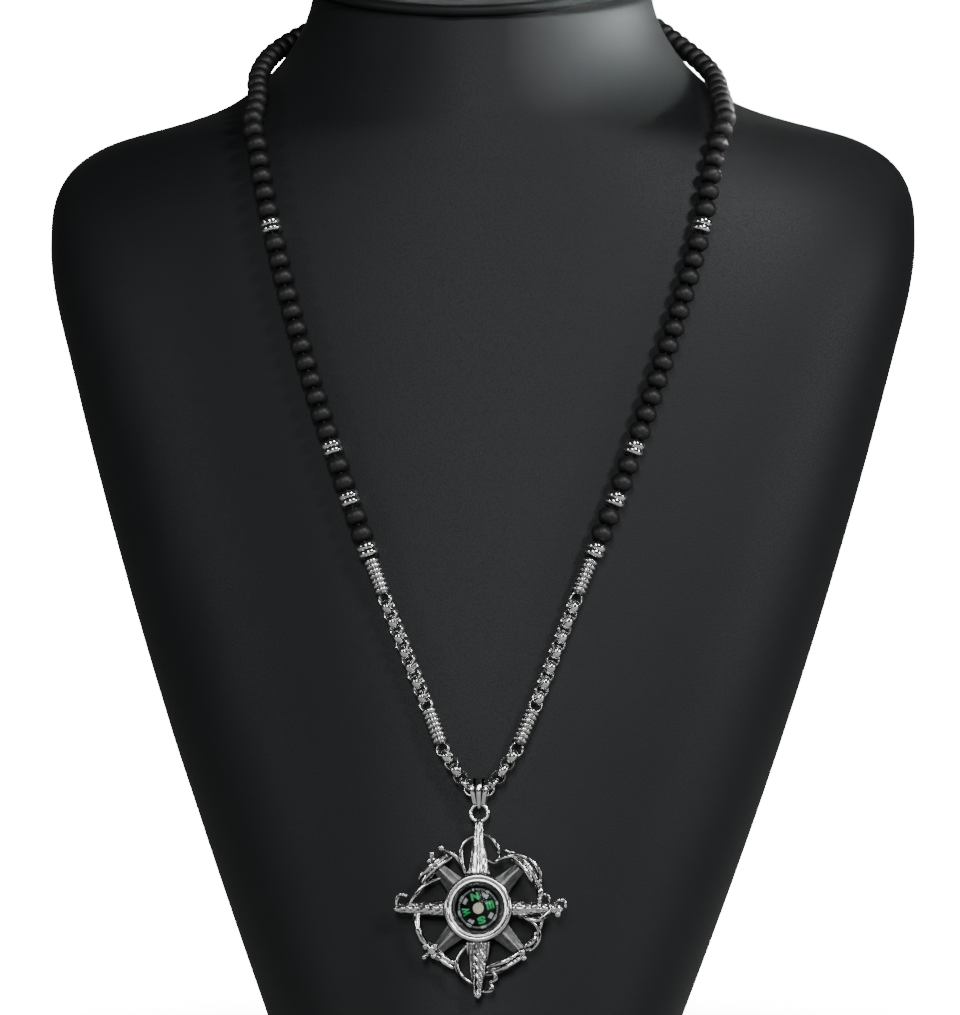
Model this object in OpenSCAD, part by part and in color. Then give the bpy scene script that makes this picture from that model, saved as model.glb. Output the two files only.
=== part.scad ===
// Compass pendant on a beaded steel necklace, laid on a plain neck bust.
// Millimetres. +Z is up, the front faces -Y, and the origin is the middle of the bust's foot.

/* [Bust] */
// Height of the neck's middle above the foot
bust_height = 300; // [270:5:330]
// Greatest half-width, at the shoulders
shoulder_half = 123.5; // [115:0.5:135]
// Depth of the foot, front to back
foot_depth = 105; // [95:1:120]
// Lean of the whole bust, top to the back, in degrees
lean = 10; // [7:0.5:13]
// Slope of the neck's flat top, down to the front, in degrees
rim_tilt = 18; // [8:1:22]
// Thickness of the padded cap on the neck
cap_thickness = 3.2; // [2:0.1:5]
// Width of the seam under the cap
seam_gap = 0.3; // [0.1:0.05:0.6]

/* [Beads] */
// Outer radius of a black bead
bead_radius = 3; // [2.6:0.05:3.3]
// Half the thickness of a black bead
bead_half = 2.25; // [1.8:0.05:2.3]
// Distance between bead centres along the string
bead_pitch = 5; // [4.75:0.05:5.4]
// Outer radius of a steel bead
steel_bead_radius = 2.85; // [2.4:0.05:3.2]
// Half the thickness of a steel bead
steel_bead_half = 2.05; // [1.7:0.05:2.2]
// Radius of the hole through a bead
bead_bore = 0.8; // [0.7:0.05:1.1]
// Radius of the thread
thread_radius = 0.4; // [0.25:0.05:0.5]
// Radius of the clasp at the nape
clasp_radius = 2.2; // [1.6:0.1:2.4]
// Space between the beads and the bust
bust_gap = 0.35; // [0.3:0.05:0.8]

/* [Chain and bars] */
// Outer radius of a chain link
link_radius = 2.1; // [2.05:0.01:2.15]
// Radial thickness of a link's band
link_wall = 0.7; // [0.6:0.01:0.72]
// Width of a link's band
link_band = 1.9; // [1.2:0.05:1.95]
// Distance between link centres
link_pitch = 2.2; // [2.18:0.01:2.3]
// Links between the two bars of one side
side_links = 13; // [9:2:15]
// Turn of the chain about its own run, in degrees
chain_roll = 26; // [0:2:30]
// Length of a bar between its end rings
bar_length = 10.4; // [8:0.2:12]
// Radius of a bar over its ribs
bar_radius = 2.1; // [1.7:0.05:2.2]
// Depth of the grooves between the ribs
rib_depth = 0.45; // [0.2:0.05:0.5]
// Ribs on a bar
bar_ribs = 7; // [5:1:8]
// Slant of the ribs in degrees
rib_slant = 12; // [0:1:15]

/* [Pendant] */
// Distance of the necklace's middle from the bust's middle
hang_x = 4; // [2:0.1:6]
// Height of the compass centre above the foot
pendant_height = 48.3; // [40:0.1:60]
// Distance of the pendant's middle plane from the bust
pendant_standoff = 4; // [3.9:0.05:5]
// Radius of the bright rim round the compass, outside
rim_radius = 9; // [8.8:0.05:9.6]
// Width of the bright rim
rim_width = 1.4; // [1.2:0.05:1.6]
// Reach of the four long points from the centre
point_reach = 23; // [21:0.1:25]
// Mean radius of the twig wreath
wreath_radius = 16.2; // [15.4:0.1:17]
// Radius of the wire of the hanging ring
ring_wire = 0.57; // [0.45:0.01:0.6]
// Radius of the middle of that wire
ring_radius = 2.28; // [2.2:0.01:2.4]

/* [Bail] */
// Radius of the opening that the chain passes through
bail_opening = 2.95; // [2.85:0.01:3.1]
// Thickness of the bail's wall
bail_wall = 0.65; // [0.5:0.01:0.7]
// Half-width of the bail at its top
bail_top_half = 2.75; // [2.4:0.05:2.8]
// Half-width of the bail just above the ring
bail_foot_half = 1.7; // [1.3:0.05:1.8]
// Half-width of the strap that goes through the ring
bail_strap_half = 0.45; // [0.35:0.01:0.5]

/* [Compass] */
// Radius of the turning card
card_radius = 5.7; // [5:0.05:5.9]
// Thickness of the card
card_thickness = 0.5; // [0.4:0.05:0.6]
// Radius of the cap in the card's middle
cap_radius = 1.45; // [1.2:0.05:1.7]
// Room round the card and over its pivot
card_clearance = 0.3; // [0.2:0.05:0.35]
// Radius of the pivot pin
pivot_radius = 0.3; // [0.25:0.01:0.35]
// Rise of the glass in its middle
glass_dome = 0.5; // [0.2:0.05:0.7]

/* [Hidden] */
fit = 0.1;
arc_steps = $preview ? 32 : 64;
bust_sides = 48;

// Sections of the bust. Heights are shares of bust_height, half-widths of shoulder_half,
// and the reach of the front and the back from the section's middle shares of foot_depth.
HEIGHT = 0;
HALF = 1;
FRONT = 2;
BACK = 3;
ROUND = 4;
SECTIONS = [
    [0.000, 0.417, 0.495, 0.476, 2.40],
    [0.100, 0.512, 0.505, 0.457, 2.30],
    [0.267, 0.660, 0.505, 0.410, 2.20],
    [0.467, 0.816, 0.495, 0.371, 2.20],
    [0.667, 0.951, 0.486, 0.352, 2.20],
    [0.750, 0.996, 0.476, 0.343, 2.10],
    [0.793, 0.996, 0.471, 0.343, 2.00],
    [0.830, 0.968, 0.467, 0.348, 1.85],
    [0.860, 0.876, 0.457, 0.352, 1.75],
    [0.877, 0.726, 0.457, 0.362, 1.70],
    [0.893, 0.604, 0.452, 0.371, 1.75],
    [0.910, 0.538, 0.448, 0.381, 1.80],
    [0.930, 0.482, 0.443, 0.395, 1.85],
    [0.953, 0.438, 0.443, 0.410, 1.95],
    [0.977, 0.408, 0.438, 0.419, 2.00],
    [1.000, 0.393, 0.438, 0.424, 2.00],
    [1.100, 0.385, 0.429, 0.429, 2.00]
];
SECTION_STEPS = [1, 2, 3, 3, 2, 2, 2, 2, 2, 2, 2, 2, 2];
NECK_STEPS = 4;

// Where the string lies on a bust that is keyed_height high: angle from the front seen from above,
// and height. Each side runs from its lower bar over the shoulder to the nape.
keyed_height = 300;
STRING_LEFT = [
    [-11, 101.5], [-23.5, 131.5], [-32.5, 157.5], [-39.5, 182], [-45, 206], [-50, 230], [-53, 244],
    [-56.5, 255], [-63, 264], [-73, 272.5], [-87, 281.5], [-105, 290.5], [-130, 299], [-155, 304], [-180, 306]
];
STRING_RIGHT = [
    [20, 102.5], [30.5, 131.5], [39, 156.5], [45.5, 182], [50.5, 206], [55, 229], [57.5, 243],
    [60.5, 253], [66, 261], [76, 269], [87, 277], [101, 286.5], [117, 295], [136, 301], [157, 304.5], [180, 306]
];
STRING_STEPS = 8;

// The chain through the bail: a bend with this radius, then straight at this slope.
bend_radius = 4.9;
bend_half_angle = 58;
half_links = 6;
ring_reach = 1.3;
steel_beads = [0, 3, 6, 19];

// Heights in the pendant's own frame, from the compass centre.
ring_clearance = 0.22;
strap_rise = 1.4;
chain_rise = 5.8;
neck_rise = 0.9;
ring_height = point_reach + ring_radius + ring_clearance;
strap_top = ring_height + strap_rise;
strap_bottom = strap_top - bail_wall;
chain_height = ring_height + chain_rise;
bail_neck = strap_top + neck_rise;

front_slope = tan(lean);
foot_front = -(SECTIONS[0][FRONT] + 0.03) * foot_depth;

function unit(v) = v / norm(v);
function sum_points(list, i = 0) = i == len(list) - 1 ? list[i] : list[i] + sum_points(list, i + 1);
function reversed(list) = [for (i = [len(list) - 1:-1:0]) list[i]];
function row_of(share) = max([for (i = [0:len(SECTIONS) - 2]) if (SECTIONS[i][HEIGHT] <= share) i]);
function step_slope(col, i) =
    (SECTIONS[i + 1][col] - SECTIONS[i][col]) / (SECTIONS[i + 1][HEIGHT] - SECTIONS[i][HEIGHT]);
function slope_at(col, i) =
    i == 0 ? step_slope(col, 0)
    : i == len(SECTIONS) - 1 ? step_slope(col, i - 1)
    : let (before = step_slope(col, i - 1), after = step_slope(col, i))
        before * after <= 0 ? 0 : 2 * before * after / (before + after);
SLOPES = [for (col = [HEIGHT:ROUND]) [for (i = [0:len(SECTIONS) - 1]) slope_at(col, i)]];

// A column of the table at any height, smooth from row to row.
function section(col, z) =
    let (
        share = min(max(z / bust_height, 0), SECTIONS[len(SECTIONS) - 1][HEIGHT]),
        i = row_of(share),
        step = SECTIONS[i + 1][HEIGHT] - SECTIONS[i][HEIGHT],
        t = (share - SECTIONS[i][HEIGHT]) / step
    )
    (2 * t ^ 3 - 3 * t ^ 2 + 1) * SECTIONS[i][col]
    + (t ^ 3 - 2 * t ^ 2 + t) * SLOPES[col][i] * step
    + (3 * t ^ 2 - 2 * t ^ 3) * SECTIONS[i + 1][col]
    + (t ^ 3 - t ^ 2) * SLOPES[col][i + 1] * step;

function half_width(z) = section(HALF, z) * shoulder_half;
function reach(z, front) = section(front ? FRONT : BACK, z) * foot_depth;
function middle_y(z) = foot_front + z * front_slope + reach(z, true);

// A point on the bust at an angle from the front and a height.
function bust_point(angle, z) =
    let (
        across = abs(sin(angle)) / half_width(z),
        along = abs(cos(angle)) / reach(z, cos(angle) >= 0),
        power = section(ROUND, z),
        radius = (across ^ power + along ^ power) ^ (-1 / power)
    )
    [radius * sin(angle), middle_y(z) - radius * cos(angle), z];
function bust_normal(angle, z) =
    unit(cross(
        bust_point(angle + 0.5, z) - bust_point(angle - 0.5, z),
        bust_point(angle, z + 0.25) - bust_point(angle, z - 0.25)
    ));

// Even steps round a section, as angles from the front.
function ring_angle(k, z) =
    let (turn = 360 * k / bust_sides)
    atan2(half_width(z) * sin(turn), reach(z, cos(turn) >= 0) * cos(turn));
function neck_start() = SECTIONS[len(SECTION_STEPS)][HEIGHT] * bust_height;
function rim_height(angle, z) =
    bust_height + 4 - reach(bust_height, true) * tan(rim_tilt) * cos(angle);
function neck_ring(t) = [
    for (k = [0:bust_sides - 1])
        let (angle = ring_angle(k, bust_height))
        bust_point(angle, neck_start() + t * (rim_height(angle) - neck_start()))
];
BODY_HEIGHTS = [
    for (i = [0:len(SECTION_STEPS) - 1], j = [0:SECTION_STEPS[i] - 1])
        bust_height * (SECTIONS[i][HEIGHT]
            + (SECTIONS[i + 1][HEIGHT] - SECTIONS[i][HEIGHT]) * j / SECTION_STEPS[i])
];

// A closed solid through rings of equally many points, with flat ends.
module loft(rings) {
    n = len(rings[0]);
    last = len(rings) - 1;
    polyhedron(
        points = [for (ring = rings) each ring],
        faces = concat(
            [[for (k = [0:n - 1]) k]],
            [for (i = [0:last - 1], k = [0:n - 1]) [i * n + k, (i + 1) * n + k, (i + 1) * n + (k + 1) % n]],
            [for (i = [0:last - 1], k = [0:n - 1])
                [i * n + k, (i + 1) * n + (k + 1) % n, i * n + (k + 1) % n]],
            [[for (k = [n - 1:-1:0]) last * n + k]]
        )
    );
}

// A round rod through points, with one radius for each point.
function rod_ring(points, radii, i, sides, up) =
    let (
        last = len(points) - 1,
        run = unit(points[min(i + 1, last)] - points[max(i - 1, 0)]),
        side = unit(cross(run, up)),
        top = cross(run, side)
    )
    [
        for (k = [0:sides - 1])
            let (turn = 360 * k / sides)
            points[i] + radii[i] * (cos(turn) * side + sin(turn) * top)
    ];
module rod(points, radii, sides, up) {
    loft([for (i = [0:len(points) - 1]) rod_ring(points, radii, i, sides, up)]);
}

// The bust
function rim_normal() = [0, -sin(rim_tilt), cos(rim_tilt)];
function cap_ring(rise, inset) =
    let (middle = sum_points(neck_ring(1)) / bust_sides)
    [for (p = neck_ring(1)) p + rise * rim_normal() - inset * unit(p - middle)];

module neck_bust() {
    color([0.09, 0.095, 0.1])
        loft(concat(
            [for (z = BODY_HEIGHTS) [for (k = [0:bust_sides - 1]) bust_point(ring_angle(k, z), z)]],
            [for (t = [0:NECK_STEPS]) neck_ring(t / NECK_STEPS)]
        ));
}

module neck_cap() {
    roll = cap_thickness / 2;
    color([0.07, 0.07, 0.075])
        loft([
            for (turn = [-90:36:90])
                cap_ring(seam_gap + roll * (1 + sin(turn)), roll * (1 - cos(turn)))
        ]);
}

// The string's run on each side, counted from the middle of the bail.
function from_pendant(p) =
    let (z = pendant_height, y = foot_front + z * front_slope - pendant_standoff / cos(lean))
    [hang_x + p[0], y + p[1] * cos(lean) + p[2] * sin(lean), z - p[1] * sin(lean) + p[2] * cos(lean)];
bend_length = bend_radius * bend_half_angle * PI / 180;
function chain_point(side, s) =
    let (angle = min(s, bend_length) / bend_radius * 180 / PI, rest = max(s - bend_length, 0))
    from_pendant([
        side * (bend_radius * sin(angle) + rest * cos(angle)),
        0,
        chain_height + bend_radius * (1 - cos(angle)) + rest * sin(angle)
    ]);

function key(keys, i) = keys[min(max(i, 0), len(keys) - 1)];
function key_between(keys, i, t) =
    let (a = key(keys, i - 1), b = key(keys, i), c = key(keys, i + 1), d = key(keys, i + 2))
    (2 * b + (c - a) * t + (2 * a - 5 * b + 4 * c - d) * t ^ 2 + (3 * b - a - 3 * c + d) * t ^ 3) / 2;
function string_places(keys) = [
    for (i = [0:len(keys) - 2], j = [0:STRING_STEPS - 1]) key_between(keys, i, j / STRING_STEPS),
    keys[len(keys) - 1]
];

// The string's ends stay by the pendant, and the rest of it follows the bust's height.
function on_bust(keys) =
    let (low = keys[0][1], share = (bust_height - low) / (keyed_height - low))
    [for (k = keys) [k[0], low + (k[1] - low) * share]];

LEFT = 0;
RIGHT = 1;
SIDES = [-1, 1];
KEYS = [on_bust(STRING_LEFT), on_bust(STRING_RIGHT)];
bar_ring_low = (half_links + 1) * link_pitch;
CHAIN_STEPS = 28;
PLACES = [for (keys = KEYS) string_places(keys)];
NORMALS = [for (side = [LEFT, RIGHT]) concat(
    [for (i = [0:CHAIN_STEPS]) [0, -cos(lean), sin(lean)]],
    [for (p = PLACES[side]) bust_normal(p[0], p[1])]
)];
RUNS = [for (side = [LEFT, RIGHT]) concat(
    [for (i = [0:CHAIN_STEPS]) chain_point(SIDES[side], bar_ring_low * i / CHAIN_STEPS)],
    [for (p = PLACES[side])
        bust_point(p[0], p[1]) + (bead_radius + bust_gap) * bust_normal(p[0], p[1])]
)];
function lengths_to(run, i = 0, total = 0, found = []) =
    i == len(run) ? found
    : let (next = i == 0 ? 0 : total + norm(run[i] - run[i - 1]))
        lengths_to(run, i + 1, next, concat(found, [next]));
LENGTHS = [for (run = RUNS) lengths_to(run)];
function run_length(side) = LENGTHS[side][len(LENGTHS[side]) - 1];
function run_index(side, s) =
    max([for (i = [0:len(LENGTHS[side]) - 2]) if (i == 0 || LENGTHS[side][i] <= s) i]);
function along(list, side, s) =
    let (
        i = run_index(side, s),
        t = (s - LENGTHS[side][i]) / (LENGTHS[side][i + 1] - LENGTHS[side][i])
    )
    list[side][i] * (1 - t) + list[side][i + 1] * t;

// Negative lengths run on to the other side of the bail.
function string_point(side, s) = s >= 0 ? along(RUNS, side, s) : along(RUNS, 1 - side, -s);
function string_frame(side, s) =
    let (
        step = 0.5,
        run = unit(string_point(side, s + step) - string_point(side, s - step)),
        across = unit(cross(run, along(NORMALS, side, max(s, 0)))),
        outward = cross(across, run)
    )
    [across, outward, run, string_point(side, s)];

// Sets its children down with +Z along the string and +Y away from the bust.
module on_string(frame) {
    multmatrix([for (row = [0:2]) [for (col = [0:3]) frame[col][row]]])
        children();
}

// Beads
module bead(radius, half) {
    rotate_extrude($fn = arc_steps)
        intersection() {
            translate([radius - half, 0])
                circle(r = half, $fn = arc_steps);
            translate([bead_bore, -radius])
                square([radius, 2 * radius]);
        }
}
// A steel bead has two round rims and a groove between them.
module grooved_bead(radius, half) {
    rim = 0.56 * half;
    groove = 0.35;
    rotate_extrude($fn = arc_steps)
        intersection() {
            union() {
                for (side = [-1, 1])
                    translate([radius - rim, side * (half - rim)])
                        circle(r = rim, $fn = arc_steps);
                translate([0, rim - half])
                    square([radius - groove, 2 * (half - rim)]);
            }
            translate([bead_bore, -radius])
                square([radius, 2 * radius]);
        }
}
bar_ring_high = bar_ring_low + 2 * ring_reach + bar_length;
upper_ring = bar_ring_high + (side_links + 1) * link_pitch;
upper_bar_end = upper_ring + ring_reach + bar_length;
first_bead = upper_bar_end + fit + bead_pitch / 2;
function bead_count(side) =
    floor((run_length(side) - first_bead - clasp_least / 2 - bead_half) / bead_pitch) + 1;
clasp_least = 12;
function bead_place(i) = first_bead + i * bead_pitch;
function is_steel(i) = len(search(i, steel_beads)) > 0;

module beads(side, steel) {
    for (i = [0:bead_count(side) - 1])
        if (is_steel(i) == steel)
            on_string(string_frame(side, bead_place(i)))
                if (steel) grooved_bead(steel_bead_radius, steel_bead_half);
                else bead(bead_radius, bead_half);
}
module black_beads(side) { color([0.05, 0.05, 0.055]) beads(side, false); }
module steel_beads(side) { color([0.85, 0.86, 0.87]) beads(side, true); }

// The clasp fills the string between the last beads, behind the neck.
clasp_gap = 0.45;
function last_bead_end(side) = bead_place(bead_count(side) - 1) + bead_half + clasp_gap;
module nape_clasp() {
    a = string_point(LEFT, last_bead_end(LEFT));
    b = string_point(RIGHT, last_bead_end(RIGHT));
    run = unit(b - a);
    across = unit(cross(run, [0, 0, 1]));
    size = norm(b - a);
    bevel = clasp_radius / 2;
    color([0.8, 0.81, 0.82])
        on_string([across, cross(run, across), run, a])
            rotate_extrude($fn = arc_steps)
                polygon([
                    [bead_bore, 0], [clasp_radius - bevel, 0], [clasp_radius, bevel],
                    [clasp_radius, size - bevel], [clasp_radius - bevel, size], [bead_bore, size]
                ]);
}

thread_in_bar = 2;
function thread_places(side) = concat(
    [upper_bar_end - thread_in_bar + fit, upper_bar_end],
    [for (i = [0:bead_count(side) - 1]) bead_place(i)],
    [last_bead_end(side)]
);
module bead_thread() {
    points = concat(
        [for (s = thread_places(LEFT)) string_point(LEFT, s)],
        [for (s = reversed(thread_places(RIGHT))) string_point(RIGHT, s)]
    );
    color([0.04, 0.04, 0.04])
        rod(points, [for (p = points) thread_radius], 6, [0.3, 0.1, 1]);
}

// Chain links turn by quarters from one to the next. Those in the bail have a narrower band, so that
// the chain can bend there.
module link(band) {
    inner = link_radius - link_wall;
    flat = band / 2 - 0.2;
    bevel = 0.15;
    rotate_extrude($fn = arc_steps)
        polygon([
            [inner, -flat], [inner + bevel, -band / 2], [link_radius - bevel, -band / 2],
            [link_radius, -flat], [link_radius, flat],
            [link_radius - bevel, band / 2], [inner + bevel, band / 2], [inner, flat]
        ]);
}
module face_on_link(band) { rotate([90, 0, 0]) link(band); }
module edge_on_link(band) { rotate([0, 90, 0]) link(band); }
BEND_BANDS = [0.5, 0.75, 0.6, 0.95];
function band_at(k) = link_band * (k > half_links ? 1 : BEND_BANDS[min(k, 3)]);
function roll_at(side, k) = -SIDES[side] * chain_roll * min(max(k - 1, 0) / half_links, 1);
module chain_link(side, s, k, roll) {
    on_string(string_frame(side, s))
        rotate([0, 0, roll])
            if (k % 2 == 0) edge_on_link(band_at(k));
            else face_on_link(band_at(k));
}
module chain_centre() {
    color([0.82, 0.83, 0.84]) {
        chain_link(LEFT, 0, 0, 0);
        for (side = [LEFT, RIGHT], k = [1:half_links])
            chain_link(side, k * link_pitch, k, roll_at(side, k));
    }
}
module side_chain(side) {
    color([0.82, 0.83, 0.84])
        for (k = [1:side_links])
            let (roll = roll_at(side, half_links + 1))
                chain_link(side, bar_ring_high + k * link_pitch, half_links + 1 + k, roll);
}

// A ribbed bar along +Z from 0, with a chain ring beyond each end that holds a chain.
module ribbed_bar(end_rings, roll) {
    core = bar_radius - rib_depth;
    rib = bar_length / (bar_ribs + 0.6);
    difference() {
        union() {
            cylinder(r = core, h = bar_length, $fn = arc_steps);
            for (i = [0:bar_ribs - 1])
                translate([0, 0, (i + 0.8) * rib])
                    rotate([rib_slant, 0, 0])
                        cylinder(r = bar_radius, h = 0.6 * rib, center = true, $fn = arc_steps);
            for (z = end_rings)
                translate([0, 0, z])
                    rotate([0, 0, roll])
                        face_on_link(link_band * 0.85);
        }
        if (len(end_rings) == 1)
            translate([0, 0, bar_length - thread_in_bar])
                cylinder(r = bead_bore, h = thread_in_bar + 1, $fn = arc_steps);
    }
}
module bar_between(side, start, finish, end_rings) {
    a = string_point(side, start);
    run = unit(string_point(side, finish) - a);
    across = unit(cross(run, along(NORMALS, side, start)));
    color([0.84, 0.85, 0.86])
        on_string([across, cross(across, run), run, a + ring_reach * run])
            ribbed_bar(end_rings, roll_at(side, half_links + 1));
}
module lower_bar(side) {
    bar_between(side, bar_ring_low, bar_ring_high, [-ring_reach, bar_length + ring_reach]);
}
module upper_bar(side) {
    bar_between(side, upper_ring, upper_bar_end, [-ring_reach]);
}

// The pendant's own frame: +Z up along the bust, +Y into it, from the compass centre.
module at_pendant() {
    translate(from_pendant([0, 0, 0]))
        rotate([-lean, 0, 0])
            children();
}
// Turns +Z forward, so that a revolved shape faces the front.
module facing() { rotate([90, 0, 0]) children(); }

// Outline round two circles, one above the other, the larger at the top.
module drop(low, low_radius, high, high_radius) {
    lift = asin((high_radius - low_radius) / (high - low));
    sides = [for (side = [-1, 1]) [side * cos(lift), -sin(lift)]];
    translate([0, low])
        circle(r = low_radius, $fn = arc_steps);
    translate([0, high])
        circle(r = high_radius, $fn = arc_steps);
    polygon([
        [0, low] + low_radius * sides[0], [0, low] + low_radius * sides[1],
        [0, high] + high_radius * sides[1], [0, high] + high_radius * sides[0]
    ]);
}
// The bail's outline from the front: a strap below, a neck, and a crown with a notch in its middle.
module bail_outline() {
    crown = chain_height + bail_opening + bail_wall;
    shoulder = crown - 1.2;
    above = crown + 1;
    half = [
        [bail_strap_half, strap_bottom - 1], [bail_strap_half, strap_top + 0.35], [bail_foot_half, bail_neck],
        [bail_top_half, shoulder], [bail_top_half - 0.5, above], [0.5, above]
    ];
    polygon(concat(
        half,
        [[0, crown - 0.3]],
        [for (i = [len(half) - 1:-1:0]) [-half[i][0], half[i][1]]]
    ));
}
// Each mouth of the opening flares, so that the chain can turn in it.
module bail_mouth() {
    depth = 0.9;
    flare = 0.3;
    translate([bail_top_half - depth, 0, chain_height])
        rotate([0, 90, 0])
            cylinder(r1 = bail_opening - 0.01, r2 = bail_opening + flare, h = depth + 0.2, $fn = arc_steps);
}
module bail() {
    low_inner = 0.9;
    low = strap_top + low_inner;
    across = 2 * (bail_opening + bail_wall) + 2;
    color([0.75, 0.76, 0.77])
        at_pendant()
            difference() {
                union() {
                    intersection() {
                        rotate([90, 0, 90])
                            linear_extrude(2 * bail_top_half + 1, center = true)
                                drop(low, low_inner + bail_wall, chain_height, bail_opening + bail_wall);
                        rotate([90, 0, 0])
                            linear_extrude(across, center = true)
                                bail_outline();
                    }
                    for (lean_x = [-1, 0, 1])
                        bail_flute(lean_x);
                }
                rotate([90, 0, 90])
                    linear_extrude(across, center = true)
                        drop(low, low_inner, chain_height, bail_opening);
                bail_mouth();
                mirror([1, 0, 0])
                    bail_mouth();
            }
}
// A raised rib down the bail's front, thick at the top.
module bail_flute(lean_x) {
    top = [lean_x * (bail_top_half - 0.75), -bail_opening - 0.2, chain_height + 1.4];
    foot = [lean_x * (bail_foot_half - 0.55), -1.25, bail_neck + 0.1];
    run = top - foot;
    width = lean_x == 0 ? 0.5 : 0.75;
    translate(foot)
        rotate([0, acos(run[2] / norm(run)), atan2(run[1], run[0])])
            cylinder(r1 = 0.5 * width, r2 = width, h = norm(run), $fn = arc_steps);
}

// The wreath's rods and tendrils. Each row runs through three places, given as an angle clockwise
// from the top, a share of wreath_radius and how far it lies to the front, then its radius.
RODS = [
    [-65, 1.07, 0.3, -48, 1.04, 0.5, -29, 1.02, 0.4, 0.80],
    [-67, 1.00, 0.5, -48, 0.96, 0.6, -26, 0.96, 0.5, 0.75],
    [36, 1.06, 0.4, 50, 1.07, 0.6, 66, 1.07, 0.4, 0.70],
    [33, 0.99, 0.5, 49, 0.99, 0.6, 64, 1.00, 0.5, 0.72],
    [66, 1.05, 0.1, 75, 1.04, 0.0, 86, 1.01, 0.0, 0.85],
    [-91, 0.98, 0.2, -107, 1.04, 0.4, -125, 1.02, 0.4, 0.85],
    [-123, 1.02, 0.3, -130, 1.02, 0.4, -137, 1.01, 0.3, 1.10],
    [-133, 0.97, 0.6, -145, 0.97, 0.7, -160, 0.96, 0.6, 0.62],
    [-135, 1.05, 0.3, -146, 1.04, 0.4, -159, 1.04, 0.3, 0.62],
    [172, 0.99, 0.6, 153, 0.97, 0.7, 134, 0.97, 0.6, 0.62],
    [174, 1.08, 0.3, 154, 1.06, 0.4, 135, 1.05, 0.3, 0.62],
    [131, 1.01, 0.4, 124, 1.03, 0.5, 115, 1.02, 0.3, 0.85],
    [117, 1.02, 0.1, 106, 1.06, 0.1, 93, 1.03, 0.1, 0.50]
];
TENDRILS = [
    [-34, 1.14, 0.7, -23, 0.91, 1.0, -21, 0.58, 0.6, 0.50],
    [-43, 0.98, 0.0, -43, 1.11, 0.0, -41, 1.19, 0.0, 0.50],
    [-2, 1.20, 0.4, -16, 1.02, 0.9, -20, 0.62, 0.7, 0.42],
    [4, 1.22, 0.4, 14, 1.12, 0.9, 21, 0.94, 1.0, 0.42],
    [21, 0.94, 1.0, 20, 0.81, 1.1, 10, 0.81, 0.8, 0.42],
    [20, 0.78, 1.0, 32, 1.02, 1.1, 44, 1.14, 0.8, 0.50],
    [22, 1.03, 0.2, 28, 1.06, 0.2, 37, 1.08, 0.4, 0.45],
    [42, 1.13, 0.7, 54, 1.18, 0.8, 68, 1.10, 0.5, 0.42],
    [79, 1.02, 0.3, 78, 1.13, 0.5, 85, 1.17, 0.4, 0.40],
    [99, 0.65, 1.0, 101, 0.97, 1.5, 87, 1.24, 1.2, 0.55],
    [87, 1.24, 1.2, 84, 1.38, 0.9, 90, 1.43, 0.4, 0.45],
    [-51, 0.79, 0.0, -72, 1.00, 1.1, -92, 1.18, 1.3, 0.45],
    [-80, 1.18, 0.6, -81, 1.32, 0.7, -89, 1.34, 0.5, 0.45],
    [-132, 1.01, 0.0, -132, 1.10, 0.0, -132, 1.18, 0.0, 0.50],
    [-163, 0.62, 0.8, -159, 0.97, 1.3, -177, 1.23, 0.7, 0.45],
    [102, 0.75, 1.2, 111, 1.07, 0.9, 130, 1.09, 0.6, 0.42],
    [170, 1.00, 0.9, 165, 1.15, 1.0, 171, 1.22, 0.8, 0.45],
    [171, 1.22, 0.8, 170, 1.33, 0.8, 177, 1.36, 0.5, 0.50]
];
// Buds and knots: angle, share of wreath_radius, how far to the front, and radius.
BUDS = [
    [-32, 1.17, 0.6, 0.80], [-41, 1.18, 0.0, 0.75], [-46, 1.13, 0.0, 0.75], [66, 1.06, 0.8, 0.85],
    [81, 1.01, 0.8, 0.60], [94, 1.30, 0.5, 0.85], [-80, 1.20, 0.6, 0.55], [-126, 1.06, 0.8, 0.80],
    [-131, 0.94, 0.9, 0.85], [-132, 1.18, 0.0, 0.75], [-137, 1.06, 0.7, 0.85], [135, 1.01, 0.65, 0.95],
    [137, 1.10, 0.15, 0.75], [180, 1.41, 0.3, 0.95]
];
TWIG_STEPS = 6;

function polar(angle, radius, forward) = [radius * sin(angle), -forward, radius * cos(angle)];
// A smooth curve through three values.
function through(a, b, c, t) = a * (1 - t) * (1 - 2 * t) + 4 * b * t * (1 - t) + c * t * (2 * t - 1);
function twig_points(row) = [
    for (i = [0:TWIG_STEPS])
        let (t = i / TWIG_STEPS)
        polar(
            through(row[0], row[3], row[6], t),
            wreath_radius * through(row[1], row[4], row[7], t),
            through(row[2], row[5], row[8], t)
        )
];
module twig(row, sides) {
    rod(
        twig_points(row),
        [for (i = [0:TWIG_STEPS]) row[9] * (0.8 + 0.2 * sin(180 * i / TWIG_STEPS))],
        sides,
        [0, 1, 0]
    );
}

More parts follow.
